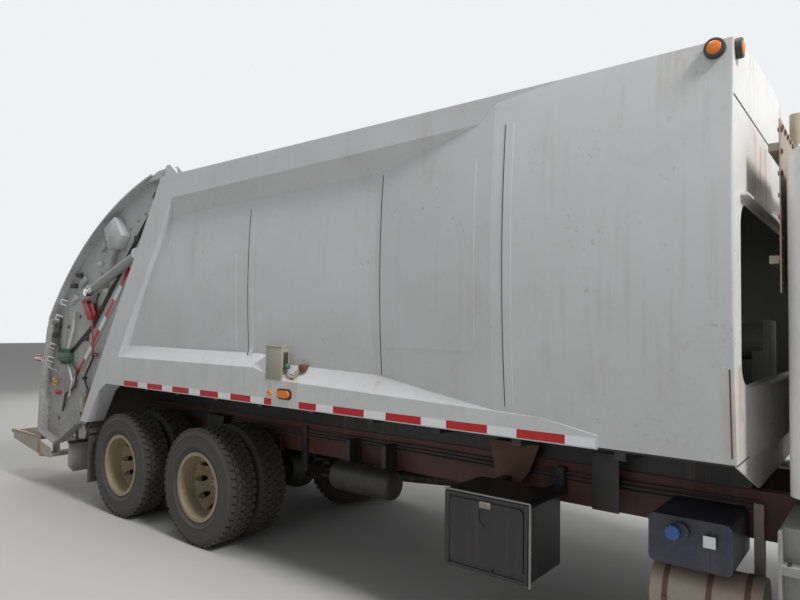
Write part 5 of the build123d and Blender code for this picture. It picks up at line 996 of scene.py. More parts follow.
RIB_LENGTH = 3.1
RIB_PITCH = 0.45
RIB_RED = 0.25
for index in range(int(RIB_LENGTH / RIB_PITCH)):
    begin = 0.06 + index * RIB_PITCH
    rib_strip(tape_red, begin, begin + RIB_RED)
    rib_strip(tape_pale, begin + RIB_RED, begin + RIB_PITCH)
for form in (tape_red, tape_pale):
    mirror_left(form)


def split_by_body(form, name, finish):
    """Tape behind the tail plane rides on the tailgate, the rest on the chassis."""
    for body, keep_rear in (("chassis", False), ("tailgate", True)):
        part = form.copy()
        drop = [
            vert
            for vert in part.verts
            if (vert.co.x < ahead(tail_plane(vert.co.z)) - 0.002) != keep_rear
        ]
        bmesh.ops.delete(part, geom=drop, context="VERTS")
        finish_piece(name + "_" + body, part, body, finish)
    form.free()


split_by_body(tape_red, "tape_red", "tape_red")
split_by_body(tape_pale, "tape_pale", "tape_pale")

# %% [markdown]
# ## Front wall
#
# The end plate has a level seam above the opening and another along its foot. Rust from lost
# lettering has run down the plate in a yellow-brown stain, which `front_white_rust_and_shade`
# paints, with painted shade in its grime low down.

# %% Seams of the front wall
WALL_X = ahead(BODY_FRONT) + 0.008
wall = bmesh.new()
add_box(wall, (WALL_X - 0.0005, -1.235, 3.088), (WALL_X + 0.0025, 1.235, 3.094))
add_box(wall, (WALL_X - 0.0005, -1.228, 1.325), (WALL_X + 0.0025, 1.228, 1.331))
finish_piece("front_wall_seams", wall, "chassis", "seam_black_and_hole_shade")

# %% [markdown]
# ## Body lamps
#
# Each round clearance lamp sits in a wide black rubber bezel, with a shallow dome for its lens.

# %% Grommets and lens domes
grommets = bmesh.new()
domes = bmesh.new()
LAMP_Z = 3.325
LAMP_RADIUS = 0.048


def add_grommet(form, dome, place, out, radius):
    """A wide rubber bezel over the CAD lamp, with a shallow lens dome in its middle."""
    stand = standing_at(Vector(place), Vector(out))
    profile = [(1.04, 0.001), (1.04, 0.020), (0.98, 0.030), (0.72, 0.032)]
    outline = [(radius * share, 0.0, height) for share, height in profile]
    spin_outline(form, outline, (0.0, 0.0, 1.0), 32)
    ring = {vert for face in form.faces if not face.tag for vert in face.verts}
    bmesh.ops.transform(form, matrix=stand, verts=list(ring))
    for face in form.faces:
        face.tag = True
    made = bmesh.ops.create_uvsphere(dome, u_segments=24, v_segments=12, radius=radius * 0.74)
    bulb = made["verts"]
    bmesh.ops.scale(dome, vec=(1.0, 1.0, 0.34), verts=bulb)
    bmesh.ops.transform(dome, matrix=stand @ Matrix.Translation((0.0, 0.0, 0.0275)), verts=bulb)


for lamp_y in (-1.157, 1.157):
    add_grommet(grommets, domes, (WALL_X, lamp_y, LAMP_Z + 0.01), (1.0, 0.0, 0.0), LAMP_RADIUS)
for side in (-1.0, 1.0):
    add_grommet(grommets, domes, at(4.21, side * 1.237, LAMP_Z), (0.0, side, 0.0), LAMP_RADIUS)
finish_piece("lamp_grommets", grommets, "chassis", "plastic_black")
finish_piece("lamp_domes", domes, "chassis", "lamp_amber")

# %% [markdown]
# ## Junction box on the rail
#
# A raised door under a folded lip, a slot drawn black as painted shade, and the small air valve
# with its pipe and port.

# %% Junction box door and valve
(rear, near, foot), (front, far, top_z) = at(0.93, -1.215, 1.495), at(1.11, -1.105, 1.785)
door = bmesh.new()
add_box(door, (rear - 0.003, near - 0.003, foot + 0.025), (rear + 0.002, far, top_z + 0.001))
add_box(door, (front - 0.002, near - 0.003, foot + 0.025), (front + 0.003, far, top_z + 0.001))
add_box(door, (rear - 0.003, near - 0.010, foot + 0.030), (front + 0.003, near + 0.001, top_z), 0.004)
add_box(door, (rear - 0.006, near - 0.014, top_z - 0.001), (front + 0.006, far, top_z + 0.008), 0.003)
finish_piece("junction_door", door, "chassis", "box_beige")
# The slot is a black box: painted shade in the slot's gap. The short rod beside it is a black fitting.
slot = bmesh.new()
add_box(slot, (front + 0.002, -1.205, 1.61), (front + 0.016, -1.165, 1.745), 0.004)
add_rod(slot, (front + 0.06, -1.185, 1.56), (front + 0.12, -1.195, 1.545), 0.020, 14)
finish_piece("junction_slot", slot, "chassis", "seam_black_and_hole_shade")
valve = bmesh.new()
add_ball(valve, (front + 0.038, -1.195, 1.635), 0.024, 16)
add_rod(valve, (front + 0.012, -1.185, 1.635), (front + 0.04, -1.19, 1.635), 0.012, 14)
finish_piece("junction_valve", valve, "chassis", "valve_green")
fittings = bmesh.new()
add_tube(
    fittings,
    [
        (front + 0.012, -1.17, 1.59), (front + 0.07, -1.20, 1.56), (front + 0.12, -1.20, 1.55),
        (front + 0.16, -1.175, 1.61)
    ],
    0.014
)
finish_piece("junction_fittings", fittings, "chassis", "box_beige")
port = bmesh.new()
add_box(port, (front + 0.15, -1.185, 1.595), (front + 0.215, -1.135, 1.655), 0.006)
finish_piece("junction_port", port, "chassis", "rust_brown")

# %% [markdown]
# ## Tailgate side
#
# The curb side of the tailgate carries the packer's controls: pipes along the rib, a valve bank,
# a red hand lever with its rod, the latch screw, small lamps and a marker on a stalk. A folded
# white box covers the hinge of the packer's linkage, and both sides have it.

# %% Covers, brackets and holes of both sides
PLATE = -1.092


def add_pin(form, place, height, y_from, y_to, radius, sides=16):
    """A rod straight across the truck."""
    add_rod(form, at(place, y_from, height), at(place, y_to, height), radius, sides)


covers = bmesh.new()
housing = [(-1.84, 2.97), (-1.62, 3.08), (-1.45, 2.87), (-1.55, 2.73), (-1.74, 2.74)]
add_slab(covers, [at(x, PLATE, z) for x, z in housing], (0.0, -0.100, 0.0), 0.010)
foot_plate = [(-1.78, 2.75), (-1.66, 2.76), (-1.80, 2.50), (-1.90, 2.52)]
add_slab(covers, [at(x, PLATE, z) for x, z in foot_plate], (0.0, -0.055, 0.0), 0.006)
for place, height in ((-1.98, 2.80), (-1.75, 2.43), (-2.42, 2.42), (-2.63, 2.22), (-1.55, 2.55)):
    corners = [(-0.07, -0.02), (0.05, 0.06), (0.075, 0.0), (-0.03, -0.07)]
    outline = [at(place + x, PLATE, height + z) for x, z in corners]
    add_slab(covers, outline, (0.0, -0.035, 0.0), 0.004)
finish_piece("tail_covers", covers, "tailgate", "tail_white_with_painted_shade", both=True)

# Each hole is a black disc on the plate: painted shade standing in for the dark inside of the hole.
holes = bmesh.new()
add_pin(holes, -0.985, 3.235, PLATE + 0.002, PLATE - 0.003, 0.055, 28)
for place, height in ((-2.50, 2.02), (-2.78, 1.90), (-2.86, 1.02), (-2.94, 0.82)):
    add_pin(holes, place, height, PLATE + 0.002, PLATE - 0.0025, 0.022, 16)
finish_piece("tail_holes", holes, "tailgate", "seam_black_and_hole_shade", both=True)

bolts = bmesh.new()
for step in range(10):
    share = step / 9.0
    height = 3.12 - 0.62 * share * share - 0.32 * share
    add_bolt(bolts, at(-1.02 - 1.3 * share, PLATE, height), (0.0, -1.0, 0.0), 0.011, 0.008)
for step in range(7):
    share = step / 6.0
    height = 1.72 - 0.95 * share
    add_bolt(bolts, at(-3.155 - 0.04 * share, PLATE, height), (0.0, -1.0, 0.0), 0.011, 0.008)
finish_piece("tail_bolts", bolts, "tailgate", "bolt_steel", both=True)

# %% Pipes along the rib
black_pipes = bmesh.new()
white_pipes = bmesh.new()
for offset in (0.0, 0.022, 0.044):
    run = [(-1.02, 3.07), (-1.30, 2.80), (-1.72, 2.36), (-2.16, 1.90), (-2.55, 1.66), (-2.72, 1.56)]
    add_tube(black_pipes, [at(x - offset, -1.1005, z + offset * 0.4) for x, z in run], 0.0075)
run = [(-2.56, 2.08), (-2.60, 1.86), (-2.70, 1.66), (-2.82, 1.52)]
add_tube(white_pipes, [at(x, -1.125, z) for x, z in run], 0.016)
run = [(-2.72, 1.50), (-2.66, 1.42), (-2.58, 1.28), (-2.64, 1.10)]
add_tube(white_pipes, [at(x, -1.122, z) for x, z in run], 0.012)
run = [(-2.94, 2.00), (-2.99, 1.75), (-2.93, 1.52)]
add_tube(black_pipes, [at(x, -1.115, z) for x, z in run], 0.014)
run = [(-2.62, 1.50), (-2.48, 1.40), (-2.52, 1.22), (-2.74, 1.12), (-2.80, 0.92)]
add_tube(black_pipes, [at(x, -1.118, z) for x, z in run], 0.012)
finish_piece("tail_pipes_black", black_pipes, "tailgate", "hose_black")
finish_piece("tail_pipes_white", white_pipes, "tailgate", "hose_white")

# %% Valve bank, lever, rod and latch screw
bank = bmesh.new()
add_box(bank, at(-2.86, -1.175, 1.50), at(-2.62, -1.091, 1.60), 0.008)
for index in range(4):
    place = -2.83 + 0.058 * index
    add_rod(bank, at(place, -1.135, 1.60), at(place, -1.135, 1.645), 0.017, 14)
    add_rod(bank, at(place, -1.135, 1.50), at(place, -1.135, 1.465), 0.014, 14)
finish_piece("valve_bank", bank, "tailgate", "valve_green")

levers = bmesh.new()
for face in (-1.112, -1.150):
    outline = [(-2.36, 2.20), (-2.28, 2.23), (-2.10, 2.03), (-2.13, 1.98), (-2.19, 1.98)]
    add_slab(levers, [at(x, face, z) for x, z in outline], (0.0, -0.008, 0.0), 0.002)
    outline = [(-2.20, 2.16), (-2.13, 2.18), (-2.05, 2.06), (-2.09, 2.00)]
    add_slab(levers, [at(x, face + 0.012, z) for x, z in outline], (0.0, -0.006, 0.0), 0.002)
add_pin(levers, -2.30, 2.185, -1.091, -1.166, 0.016, 16)
add_pin(levers, -2.13, 2.02, -1.095, -1.166, 0.014, 16)
add_rod(levers, at(-2.13, -1.135, 2.00), at(-2.075, -1.135, 1.60), 0.010, 12)
add_rod(levers, at(-2.10, -1.135, 1.60), at(-1.985, -1.135, 1.60), 0.012, 12)
finish_piece("hand_lever", levers, "tailgate", "lever_red")

links = bmesh.new()
add_rod(links, at(-2.13, -1.128, 2.10), at(-2.05, -1.112, 2.28), 0.010, 10)
add_pin(links, -2.075, 1.60, -1.091, -1.150, 0.020, 16)
add_rod(links, at(-2.085, -1.120, 1.60), at(-2.30, -1.120, 1.33), 0.011, 12)
add_pin(links, -2.30, 1.33, -1.091, -1.140, 0.018, 16)
add_rod(links, at(-2.30, -1.120, 1.33), at(-2.17, -1.120, 1.16), 0.011, 12)
finish_piece("latch_links", links, "tailgate", "seam_black_and_hole_shade")

latch = bmesh.new()
add_rod(latch, at(-2.145, -1.120, 1.185), at(-2.20, -1.120, 1.06), 0.030, 18)
add_rod(latch, at(-2.20, -1.120, 1.06), at(-2.26, -1.120, 0.93), 0.020, 16)
for place, height in ((-2.145, 1.185), (-2.26, 0.93)):
    add_pin(latch, place, height, -1.091, -1.155, 0.034, 20)
finish_piece("latch_screw", latch, "tailgate", "rust_brown")
cream = bmesh.new()
outline = [(-2.36, 1.10), (-2.30, 1.12), (-2.24, 0.94), (-2.30, 0.90)]
add_slab(cream, [at(x, PLATE, z) for x, z in outline], (0.0, -0.05, 0.0), 0.006)
finish_piece("latch_cover", cream, "tailgate", "step_cream")

# %% Knob, small lamps and the marker
knob = bmesh.new()
add_pin(knob, -2.99, 1.25, -1.091, -1.140, 0.012, 14)
for along, up in around(5, 0.040):
    end = at(-2.99 + along, -1.142, 1.25 + up)
    add_rod(knob, at(-2.99, -1.142, 1.25), end, 0.010, 10)
    add_ball(knob, end, 0.013, 10)
finish_piece("valve_knob", knob, "tailgate", "knob_yellow")
small = bmesh.new()
for place in (-2.995, -2.925):
    add_box(small, at(place - 0.022, -1.118, 1.095), at(place + 0.022, -1.091, 1.145), 0.008)
finish_piece("side_lamps_red", small, "tailgate", "lamp_red", both=True)
stalk = bmesh.new()
add_tube(
    stalk,
    [at(-2.99, -1.10, 1.37), at(-3.12, -1.13, 1.40), at(-3.30, -1.15, 1.47), at(-3.37, -1.15, 1.50)],
    0.008
)
finish_piece("marker_stalk", stalk, "tailgate", "hose_white")
flag_red = bmesh.new()
flag_pale = bmesh.new()
for index in range(4):
    low = 1.475 + 0.018 * index
    form = flag_red if index in (0, 3) else flag_pale
    add_box(form, at(-3.50, -1.165, low), at(-3.36, -1.135, low + 0.018))
finish_piece("marker_red", flag_red, "tailgate", "tape_red")
finish_piece("marker_pale", flag_pale, "tailgate", "tape_pale")

# %% [markdown]
# ## Riding steps, mud flaps and undergear
#
# The step's front bar is capped in worn wood-coloured paint with a latch block at its inner end.
# Under the body hang the brackets, air lines and brake chambers that make a chassis look used.

# %% Step bars and their blocks
bars = bmesh.new()
STEP_REAR = -4.0
STEP_FRONT = -3.21
add_box(bars, at(STEP_REAR + 0.004, -1.203, 0.5755), at(STEP_FRONT + 0.02, -1.165, 0.592), 0.004)
add_box(bars, at(STEP_FRONT - 0.01, -1.204, 0.40), at(STEP_FRONT + 0.06, -1.199, 0.60), 0.002)
add_box(bars, at(STEP_FRONT + 0.03, -1.206, 0.36), at(STEP_FRONT + 0.12, -1.150, 0.41), 0.008)
finish_piece("step_bars", bars, "tailgate", "wood_yellow", both=True)

# %% Hanger brackets and plates under the rail
hangers = bmesh.new()
outline = [(2.56, 1.16), (2.95, 1.16), (2.88, 0.98), (2.78, 0.84), (2.64, 0.84), (2.60, 0.98)]
add_slab(hangers, [at(x, -0.50, z) for x, z in outline], (0.0, -0.012, 0.0), 0.003)
add_box(hangers, at(2.60, -0.502, 1.11), at(2.91, -0.432, 1.16), 0.004)
finish_piece("hanger_brackets", hangers, "chassis", "rust_brown", both=True)
plates = bmesh.new()
add_box(plates, at(3.36, -0.615, 0.83), at(3.53, -0.60, 1.19), 0.004)
add_box(plates, at(3.40, -0.602, 0.95), at(3.49, -0.432, 1.02), 0.004)
add_box(plates, at(0.55, -0.46, 0.62), at(0.61, -0.432, 1.03), 0.004)
finish_piece("chassis_plates", plates, "chassis", "chassis_black")

# %% Air lines and cables along both rails
lines = bmesh.new()
for index in range(3):
    high = 1.00 - 0.028 * index
    run = [
        (-2.15, high), (-1.2, high + 0.01), (0.4, high - 0.012), (1.9, high + 0.008),
        (3.2, high - 0.008), (4.25, high)
    ]
    add_tube(lines, [at(x, -0.443, z) for x, z in run], 0.010, 8)
finish_piece("air_lines", lines, "chassis", "hose_black", both=True)

# %% Brake chambers and their hoses
chambers = bmesh.new()
for axle in (0.0, -AXLE_SPACING):
    add_rod(chambers, at(axle + 0.10, -0.50, 0.60), at(axle + 0.24, -0.50, 0.62), 0.075, 24)
    add_rod(chambers, at(axle + 0.16, -0.50, 0.605), at(axle + 0.175, -0.50, 0.608), 0.082, 24)
    add_rod(chambers, at(axle + 0.02, -0.50, 0.585), at(axle + 0.10, -0.50, 0.60), 0.014, 12)
    add_tube(
        chambers,
        [at(axle + 0.24, -0.50, 0.62), at(axle + 0.30, -0.49, 0.70), at(axle + 0.26, -0.46, 0.90)],
        0.009, 8
    )
finish_piece("brake_chambers", chambers, "chassis", "chassis_black", both=True)

# %% [markdown]
# ## Wheel nuts and caps
#
# Ten nuts stand round each hub, on the disc that the CAD rim gives, and a ring of small bolts
# holds the hub's cap.

# %% Nuts on all six outer wheels
NUT_CIRCLE = 0.1425
NUT_COUNT = 10
CAP_CIRCLE = 0.052
CAP_COUNT = 8
DRIVE_DISC_Y = 0.914
DRIVE_CAP_Y = 0.997
FRONT_DISC_Y = 1.197
FRONT_CAP_Y = 1.247


def wheel_nuts(name, body, axle_x, side, disc_y, cap_y):
    """Nuts on a wheel's disc and bolts on its hub cap, at their distances from the middle."""
    form = bmesh.new()
    for along, up in around(NUT_COUNT, NUT_CIRCLE):
        x, z = axle_x + along, AXLE_Z + up
        for height, radius, sides in ((0.006, 0.023, 14), (0.028, 0.0165, 6)):
            add_rod(form, (x, side * disc_y, z), (x, side * (disc_y + height), z), radius, sides)
    for along, up in around(CAP_COUNT, CAP_CIRCLE):
        place = (axle_x + along, side * cap_y, AXLE_Z + up)
        add_bolt(form, place, (0.0, side, 0.0), 0.009, 0.012)
    finish_piece(name, form, body, "bolt_steel")


for number, axle_x in DRIVE_AXLES:
    for side, sign in SIDES:
        wheel = "%d_%s" % (number, side)
        wheel_nuts("nuts_" + wheel, "wheels_" + wheel, axle_x, sign, DRIVE_DISC_Y, DRIVE_CAP_Y)
for side, sign in SIDES:
    wheel, axle_x = "front_wheel_" + side, ahead(FRONT_AXLE)
    wheel_nuts("front_nuts_" + side, wheel, axle_x, sign, FRONT_DISC_Y, FRONT_CAP_Y)

# %% [markdown]
# ## Side gear in front of the wheels
#
# The dark fluid tank gets its blue cap and a blank label, the canister its clamps, the cab step
# its perforated treads, drawn as black discs of painted shade, and the toolbox its moulded lid,
# its latch and a painted highlight along the lid's top and front edges.

# %% Tank cap, label, clamps, treads and toolbox lid
CAP_PLACE = 3.93
CAP_Z = 0.885
CAP_RADIUS = 0.036
cap = bmesh.new()
add_pin(cap, CAP_PLACE, CAP_Z, -0.928, -0.962, CAP_RADIUS, 24)
for along, up in around(10, CAP_RADIUS):
    add_pin(cap, CAP_PLACE + along, CAP_Z + up, -0.934, -0.959, 0.005, 8)
finish_piece("fluid_cap", cap, "chassis", "cap_blue")
label = bmesh.new()
add_box(label, at(4.075, -0.9312, 0.835), at(4.135, -0.9296, 0.895))
finish_piece("blank_label", label, "chassis", "tape_pale")
clamps = bmesh.new()
for place in (3.86, 4.08, 4.26):
    add_rod(clamps, at(place - 0.014, -0.69, 0.50), at(place + 0.014, -0.69, 0.50), 0.169, 40)
    add_box(clamps, at(place - 0.012, -0.875, 0.49), at(place + 0.012, -0.853, 0.51), 0.003)
finish_piece("canister_clamps", clamps, "chassis", "rust_brown")
# The perforations are black discs: painted shade where the holes in the treads would show.
treads = bmesh.new()
for index in range(12):
    place = 4.47 + 0.072 * index
    for across_by in (0.035, 0.075, 0.115):
        low_y, high_y = -1.09 + across_by, -1.05 + across_by * 0.6
        add_rod(treads, at(place, low_y, 0.5395), at(place, low_y, 0.5435), 0.012, 10)
        add_rod(treads, at(place, high_y, 0.8595), at(place, high_y, 0.8635), 0.009, 10)
finish_piece("step_treads", treads, "chassis", "seam_black_and_hole_shade")
mould = bmesh.new()
LID_FACE = -1.1385
for low, high in (
    ((2.615, 0.465), (2.640, 0.925)),
    ((3.160, 0.465), (3.185, 0.925)),
    ((2.640, 0.905), (3.160, 0.925)),
    ((2.640, 0.465), (3.160, 0.485)),
    ((2.985, 0.560), (3.000, 0.860)),
    ((2.935, 0.480), (2.950, 0.700)),
    ((2.940, 0.690), (3.000, 0.705)),
):
    add_box(mould, at(low[0], LID_FACE - 0.009, low[1]), at(high[0], LID_FACE + 0.001, high[1]), 0.003)
finish_piece("toolbox_mould", mould, "toolbox_lid", "toolbox_black")
# Grey strips along the lid's top and front edges: a painted highlight.
edge = bmesh.new()
add_box(edge, at(2.602, -1.1515, 0.934), at(3.198, -1.1340, 0.9415), 0.002)
add_box(edge, at(3.1925, -1.1515, 0.455), at(3.2010, -1.1340, 0.936), 0.002)
finish_piece("toolbox_edge_highlight", edge, "toolbox_lid", "lid_edge_highlight")
tool_latch = bmesh.new()
add_box(tool_latch, at(2.86, -1.157, 0.86), at(2.94, -1.137, 0.90), 0.006)
add_pin(tool_latch, 2.90, 0.88, -1.157, -1.164, 0.011, 16)
finish_piece("toolbox_latch", tool_latch, "toolbox_lid", "bolt_steel")

# %% [markdown]
# ## Cab trim
#
# Rubbers, lamps, wipers and mirrors make a plain cab read as a real one. The window rubbers
# follow the corners of the CAD panes, so they can't drift away from the glass.

# %% Window rubbers
def pane_corners(points, across):
    """Corners of a flat pane in order round its middle. across is the axis that it looks along."""
    corners = []
    for point in points:
        if all((point - other).length > 0.03 for other in corners):
            corners.append(point)
    middle = sum(corners, Vector()) / len(corners)
    u, v = [axis for axis in range(3) if axis != across]
    return sorted(corners, key=lambda corner: atan2(corner[v] - middle[v], corner[u] - middle[u]))


def rubber_loop(form, corners, radius=0.011):
    """A rubber bead through the corners and back to the first."""
    for start, end in zip(corners, corners[1:] + corners[:1]):
        add_rod(form, start, end, radius, 10)
        add_ball(form, start, radius * 1.02, 10)


def pane_points(name, keep):
    """The points of a CAD node, in the frame, that keep says yes to."""
    node = nodes[name]
    points = [node.matrix_world @ vert.co for vert in node.data.vertices]
    return [point for point in points if keep(point)]


CAB_MIDDLE = ahead(5.2)
rubbers = bmesh.new()
front_pane = pane_corners(pane_points("cab_glass", lambda point: point.x > CAB_MIDDLE), 0)
rubber_loop(rubbers, [corner + Vector((0.012, 0.0, 0.0)) for corner in front_pane])
rear_pane = pane_corners(pane_points("cab_glass", lambda point: point.x < CAB_MIDDLE), 0)
rubber_loop(rubbers, [corner + Vector((-0.014, 0.0, 0.0)) for corner in rear_pane])
finish_piece("window_rubbers", rubbers, "chassis", "plastic_black")
for side, sign in SIDES:
    door_rubber = bmesh.new()
    pane = pane_corners(pane_points("door_glass_" + side, lambda point: True), 1)
    rubber_loop(door_rubber, [Vector((corner.x, sign * 1.049, corner.z)) for corner in pane], 0.010)
    finish_piece("door_rubber_" + side, door_rubber, side + "_door", "plastic_black")

# %% Wipers, roof lamps, mirror glass and grab rails
SCREEN_LEAN = 0.39
ROOF_Z = 2.88


def screen_point(y, z, out):
    """A place on the windscreen's plane, moved out from it."""
    return Vector((ahead(6.02 - SCREEN_LEAN * (z - 1.96)) + out, y, z))


wipers = bmesh.new()
for y in (-0.62, 0.12):
    add_ball(wipers, screen_point(y, 1.995, 0.012), 0.020)
    add_rod(wipers, screen_point(y, 1.995, 0.020), screen_point(y + 0.26, 2.33, 0.030), 0.006, 8)
    add_rod(wipers, screen_point(y + 0.16, 2.08, 0.012), screen_point(y + 0.36, 2.58, 0.012), 0.007, 8)
finish_piece("wipers", wipers, "chassis", "plastic_black")

roof_bases = bmesh.new()
roof_lenses = bmesh.new()
for y in (-0.80, -0.20, 0.0, 0.20, 0.80):
    add_box(roof_bases, at(5.43, y - 0.034, ROOF_Z - 0.002), at(5.55, y + 0.034, ROOF_Z + 0.010), 0.004)
    add_box(
        roof_lenses, at(5.44, y - 0.026, ROOF_Z + 0.009), at(5.54, y + 0.026, ROOF_Z + 0.038), 0.011
    )
finish_piece("roof_lamp_bases", roof_bases, "chassis", "plastic_black")
finish_piece("roof_lamp_lenses", roof_lenses, "chassis", "lamp_amber")

mirror_glass = bmesh.new()
add_box(mirror_glass, at(5.9565, 1.195, 1.945), at(5.9605, 1.345, 2.395))
finish_piece("mirror_glass", mirror_glass, "chassis", "mirror_face", both=True)

rails = bmesh.new()
RAIL_X = ahead(4.70)
add_tube(
    rails,
    [(RAIL_X, 1.049, 1.40), (RAIL_X, 1.100, 1.43), (RAIL_X, 1.100, 2.27), (RAIL_X, 1.049, 2.30)],
    0.014, 14
)
finish_piece("cab_grab_rails", rails, "chassis", "bumper_steel", both=True)

# %% Hood vents, straps and front lamps
HOOD_SKIN = surface_of(["hood"])
vents = bmesh.new()
# The five dark strips are painted shade in the vent slots. The two thicker pieces are the hood's black
# straps.
for index in range(5):
    lay_sheet(vents, HOOD_SKIN, ahead(6.62), 1.40 + 0.042 * index, 0.34, 0.015, 0.003)
lay_sheet(vents, HOOD_SKIN, ahead(6.12), 1.36, 0.028, 0.13, 0.014)
lay_sheet(vents, HOOD_SKIN, ahead(6.12), 1.43, 0.050, 0.018, 0.022)
finish_piece("hood_vents", vents, "hood_assembly", "seam_black_and_hole_shade", both=True)

bezels = bmesh.new()
lenses = bmesh.new()
for y in (0.842, 0.998):
    add_rod(bezels, at(7.2245, y, 1.09), at(7.2300, y, 1.09), 0.066, 32)
    add_rod(lenses, at(7.2290, y, 1.09), at(7.2345, y, 1.09), 0.056, 32, 0.050)
finish_piece("headlamp_bezels", bezels, "hood_assembly", "bumper_steel", both=True)
finish_piece("headlamp_lenses", lenses, "hood_assembly", "lamp_clear", both=True)
turn_lamps = bmesh.new()
add_box(turn_lamps, at(6.97, 1.184, 1.13), at(7.09, 1.198, 1.18), 0.005)
finish_piece("turn_lamps", turn_lamps, "hood_assembly", "lamp_amber", both=True)

# %% Bumper lamps and blank plate
BUMPER_X = ahead(7.35)
fog_rims = bmesh.new()
fog_lenses = bmesh.new()
add_rod(fog_rims, (BUMPER_X - 0.001, 0.62, 0.73), (BUMPER_X + 0.008, 0.62, 0.73), 0.060, 28)
add_rod(fog_lenses, (BUMPER_X + 0.007, 0.62, 0.73), (BUMPER_X + 0.012, 0.62, 0.73), 0.050, 28, 0.044)
for y, z in ((0.80, 0.62), (0.80, 0.84), (0.25, 0.62), (0.25, 0.84)):
    add_bolt(fog_rims, (BUMPER_X, y, z), (1.0, 0.0, 0.0), 0.012, 0.010)
finish_piece("bumper_lamp_rims", fog_rims, "chassis", "bolt_steel", both=True)
finish_piece("bumper_lamp_lenses", fog_lenses, "chassis", "lamp_clear", both=True)
plate = bmesh.new()
add_box(plate, (BUMPER_X - 0.0005, -0.152, 0.650), (BUMPER_X + 0.003, 0.152, 0.800))
finish_piece("blank_plate", plate, "chassis", "tape_pale")

# %% Dark rim of the low oval lamp and bolts of the bolted panel
oval_rim = bmesh.new()
add_box(oval_rim, at(1.066, -1.2245, 1.380), at(1.234, -1.2190, 1.464))
spans = [(edge, edge.verts[0].co - edge.verts[1].co) for edge in oval_rim.edges]
corner_edges = [edge for edge, span in spans if abs(span.y) > 0.004]
bmesh.ops.bevel(
    oval_rim, geom=corner_edges, offset=0.036, offset_type="OFFSET", segments=6, profile=0.5,
    affect="EDGES", material=-1,
)
finish_piece("oval_lamp_rim", oval_rim, "chassis", "seam_black_and_hole_shade")
panel_bolts = bmesh.new()
for index in range(8):
    for y, z in ((-0.92, 2.20 + 0.11 * index), (-0.88 + 0.10 * index, 2.99)):
        add_bolt(panel_bolts, at(4.443, y, z), (1.0, 0.0, 0.0))
        add_bolt(panel_bolts, at(4.437, y, z), (-1.0, 0.0, 0.0))
finish_piece("panel_bolts", panel_bolts, "chassis", "rust_brown")

# %% [markdown]
# ## Inside the cab
#
# A driver's side needs what a driver uses: dials on the slanted dash, a gear lever, and door
# cards with a rest. The dash slopes up to the screen, so the dials are laid on that slope.

# %% Dials, lever and door cards
DASH_LOW = at(5.64, 0.0, 1.77)
DASH_HIGH = at(5.79, 0.0, 1.90)
DASH_OUT = Vector((-(DASH_HIGH.z - DASH_LOW.z), 0.0, DASH_HIGH.x - DASH_LOW.x)).normalized()
dial_rims = bmesh.new()
dial_faces = bmesh.new()
needles = bmesh.new()
DIALS = ((0.66, 0.034), (0.56, 0.050), (0.43, 0.050), (0.33, 0.034), (0.22, 0.026), (0.15, 0.026))
slope = (DASH_HIGH - DASH_LOW).normalized()
for y, radius in DIALS:
    foot = (DASH_LOW + DASH_HIGH) / 2.0 + Vector((0.0, y, 0.0))
    add_rod(dial_rims, foot, foot + DASH_OUT * 0.008, radius, 26)
    add_rod(dial_faces, foot + DASH_OUT * 0.007, foot + DASH_OUT * 0.0095, radius * 0.86, 26)
    tip = foot + DASH_OUT * 0.0105
    add_rod(needles, tip, tip + slope * radius * 0.7 + Vector((0.0, radius * 0.3, 0.0)), 0.0016, 6)
finish_piece("dial_rims", dial_rims, "chassis", "bumper_steel")
finish_piece("dial_faces", dial_faces, "chassis", "seam_black_and_hole_shade")
finish_piece("dial_needles", needles, "chassis", "lever_red")

gear = bmesh.new()
add_rod(gear, at(5.34, 0.10, 1.2305), at(5.34, 0.10, 1.27), 0.060, 20, 0.030)
add_rod(gear, at(5.34, 0.10, 1.26), at(5.27, 0.13, 1.64), 0.009, 12)
add_ball(gear, at(5.27, 0.13, 1.65), 0.028, 16)
finish_piece("gear_lever", gear, "chassis", "plastic_black")

for side, sign in SIDES:
    card = bmesh.new()
    add_box(card, at(4.88, 0.986, 1.34), at(5.58, 0.9995, 1.90), 0.005)
    add_box(card, at(5.02, 0.945, 1.62), at(5.42, 0.990, 1.665), 0.012)
    add_tube(
        card,
        [at(5.10, 0.99, 1.76), at(5.12, 0.955, 1.76), at(5.30, 0.955, 1.76), at(5.32, 0.99, 1.76)],
        0.009
    )
    if sign < 0:
        bmesh.ops.scale(card, vec=(1.0, -1.0, 1.0), verts=card.verts[:])
    finish_piece("door_card_" + side, card, side + "_door", "plastic_black")

# %% [markdown]
# ## Seats
#
# Each seat is a sprung base with a cushion and a back. A pad starts as a slightly small block
# with its sides pulled in, is remeshed evenly, and is blown up as cloth. No point may move
# further than a set reach. The sewn channels are pressed in afterwards, because remeshing would
# rub them out. One seat is made, and the other is a copy of it.

# %% Pads as blown cloth
PAD_VOXEL = 0.006
PAD_FRAMES = 20
CUSHION_REACH = 0.024
BACK_REACH = 0.022
CHANNEL_HALF = 0.007
PAD_PRESSURE = 4.0
DRIVER_Y = 0.48
CUSHION_REAR, CUSHION_FRONT = ahead(4.785), ahead(5.215)
BACK_REAR, BACK_FRONT = ahead(4.765), ahead(4.845)


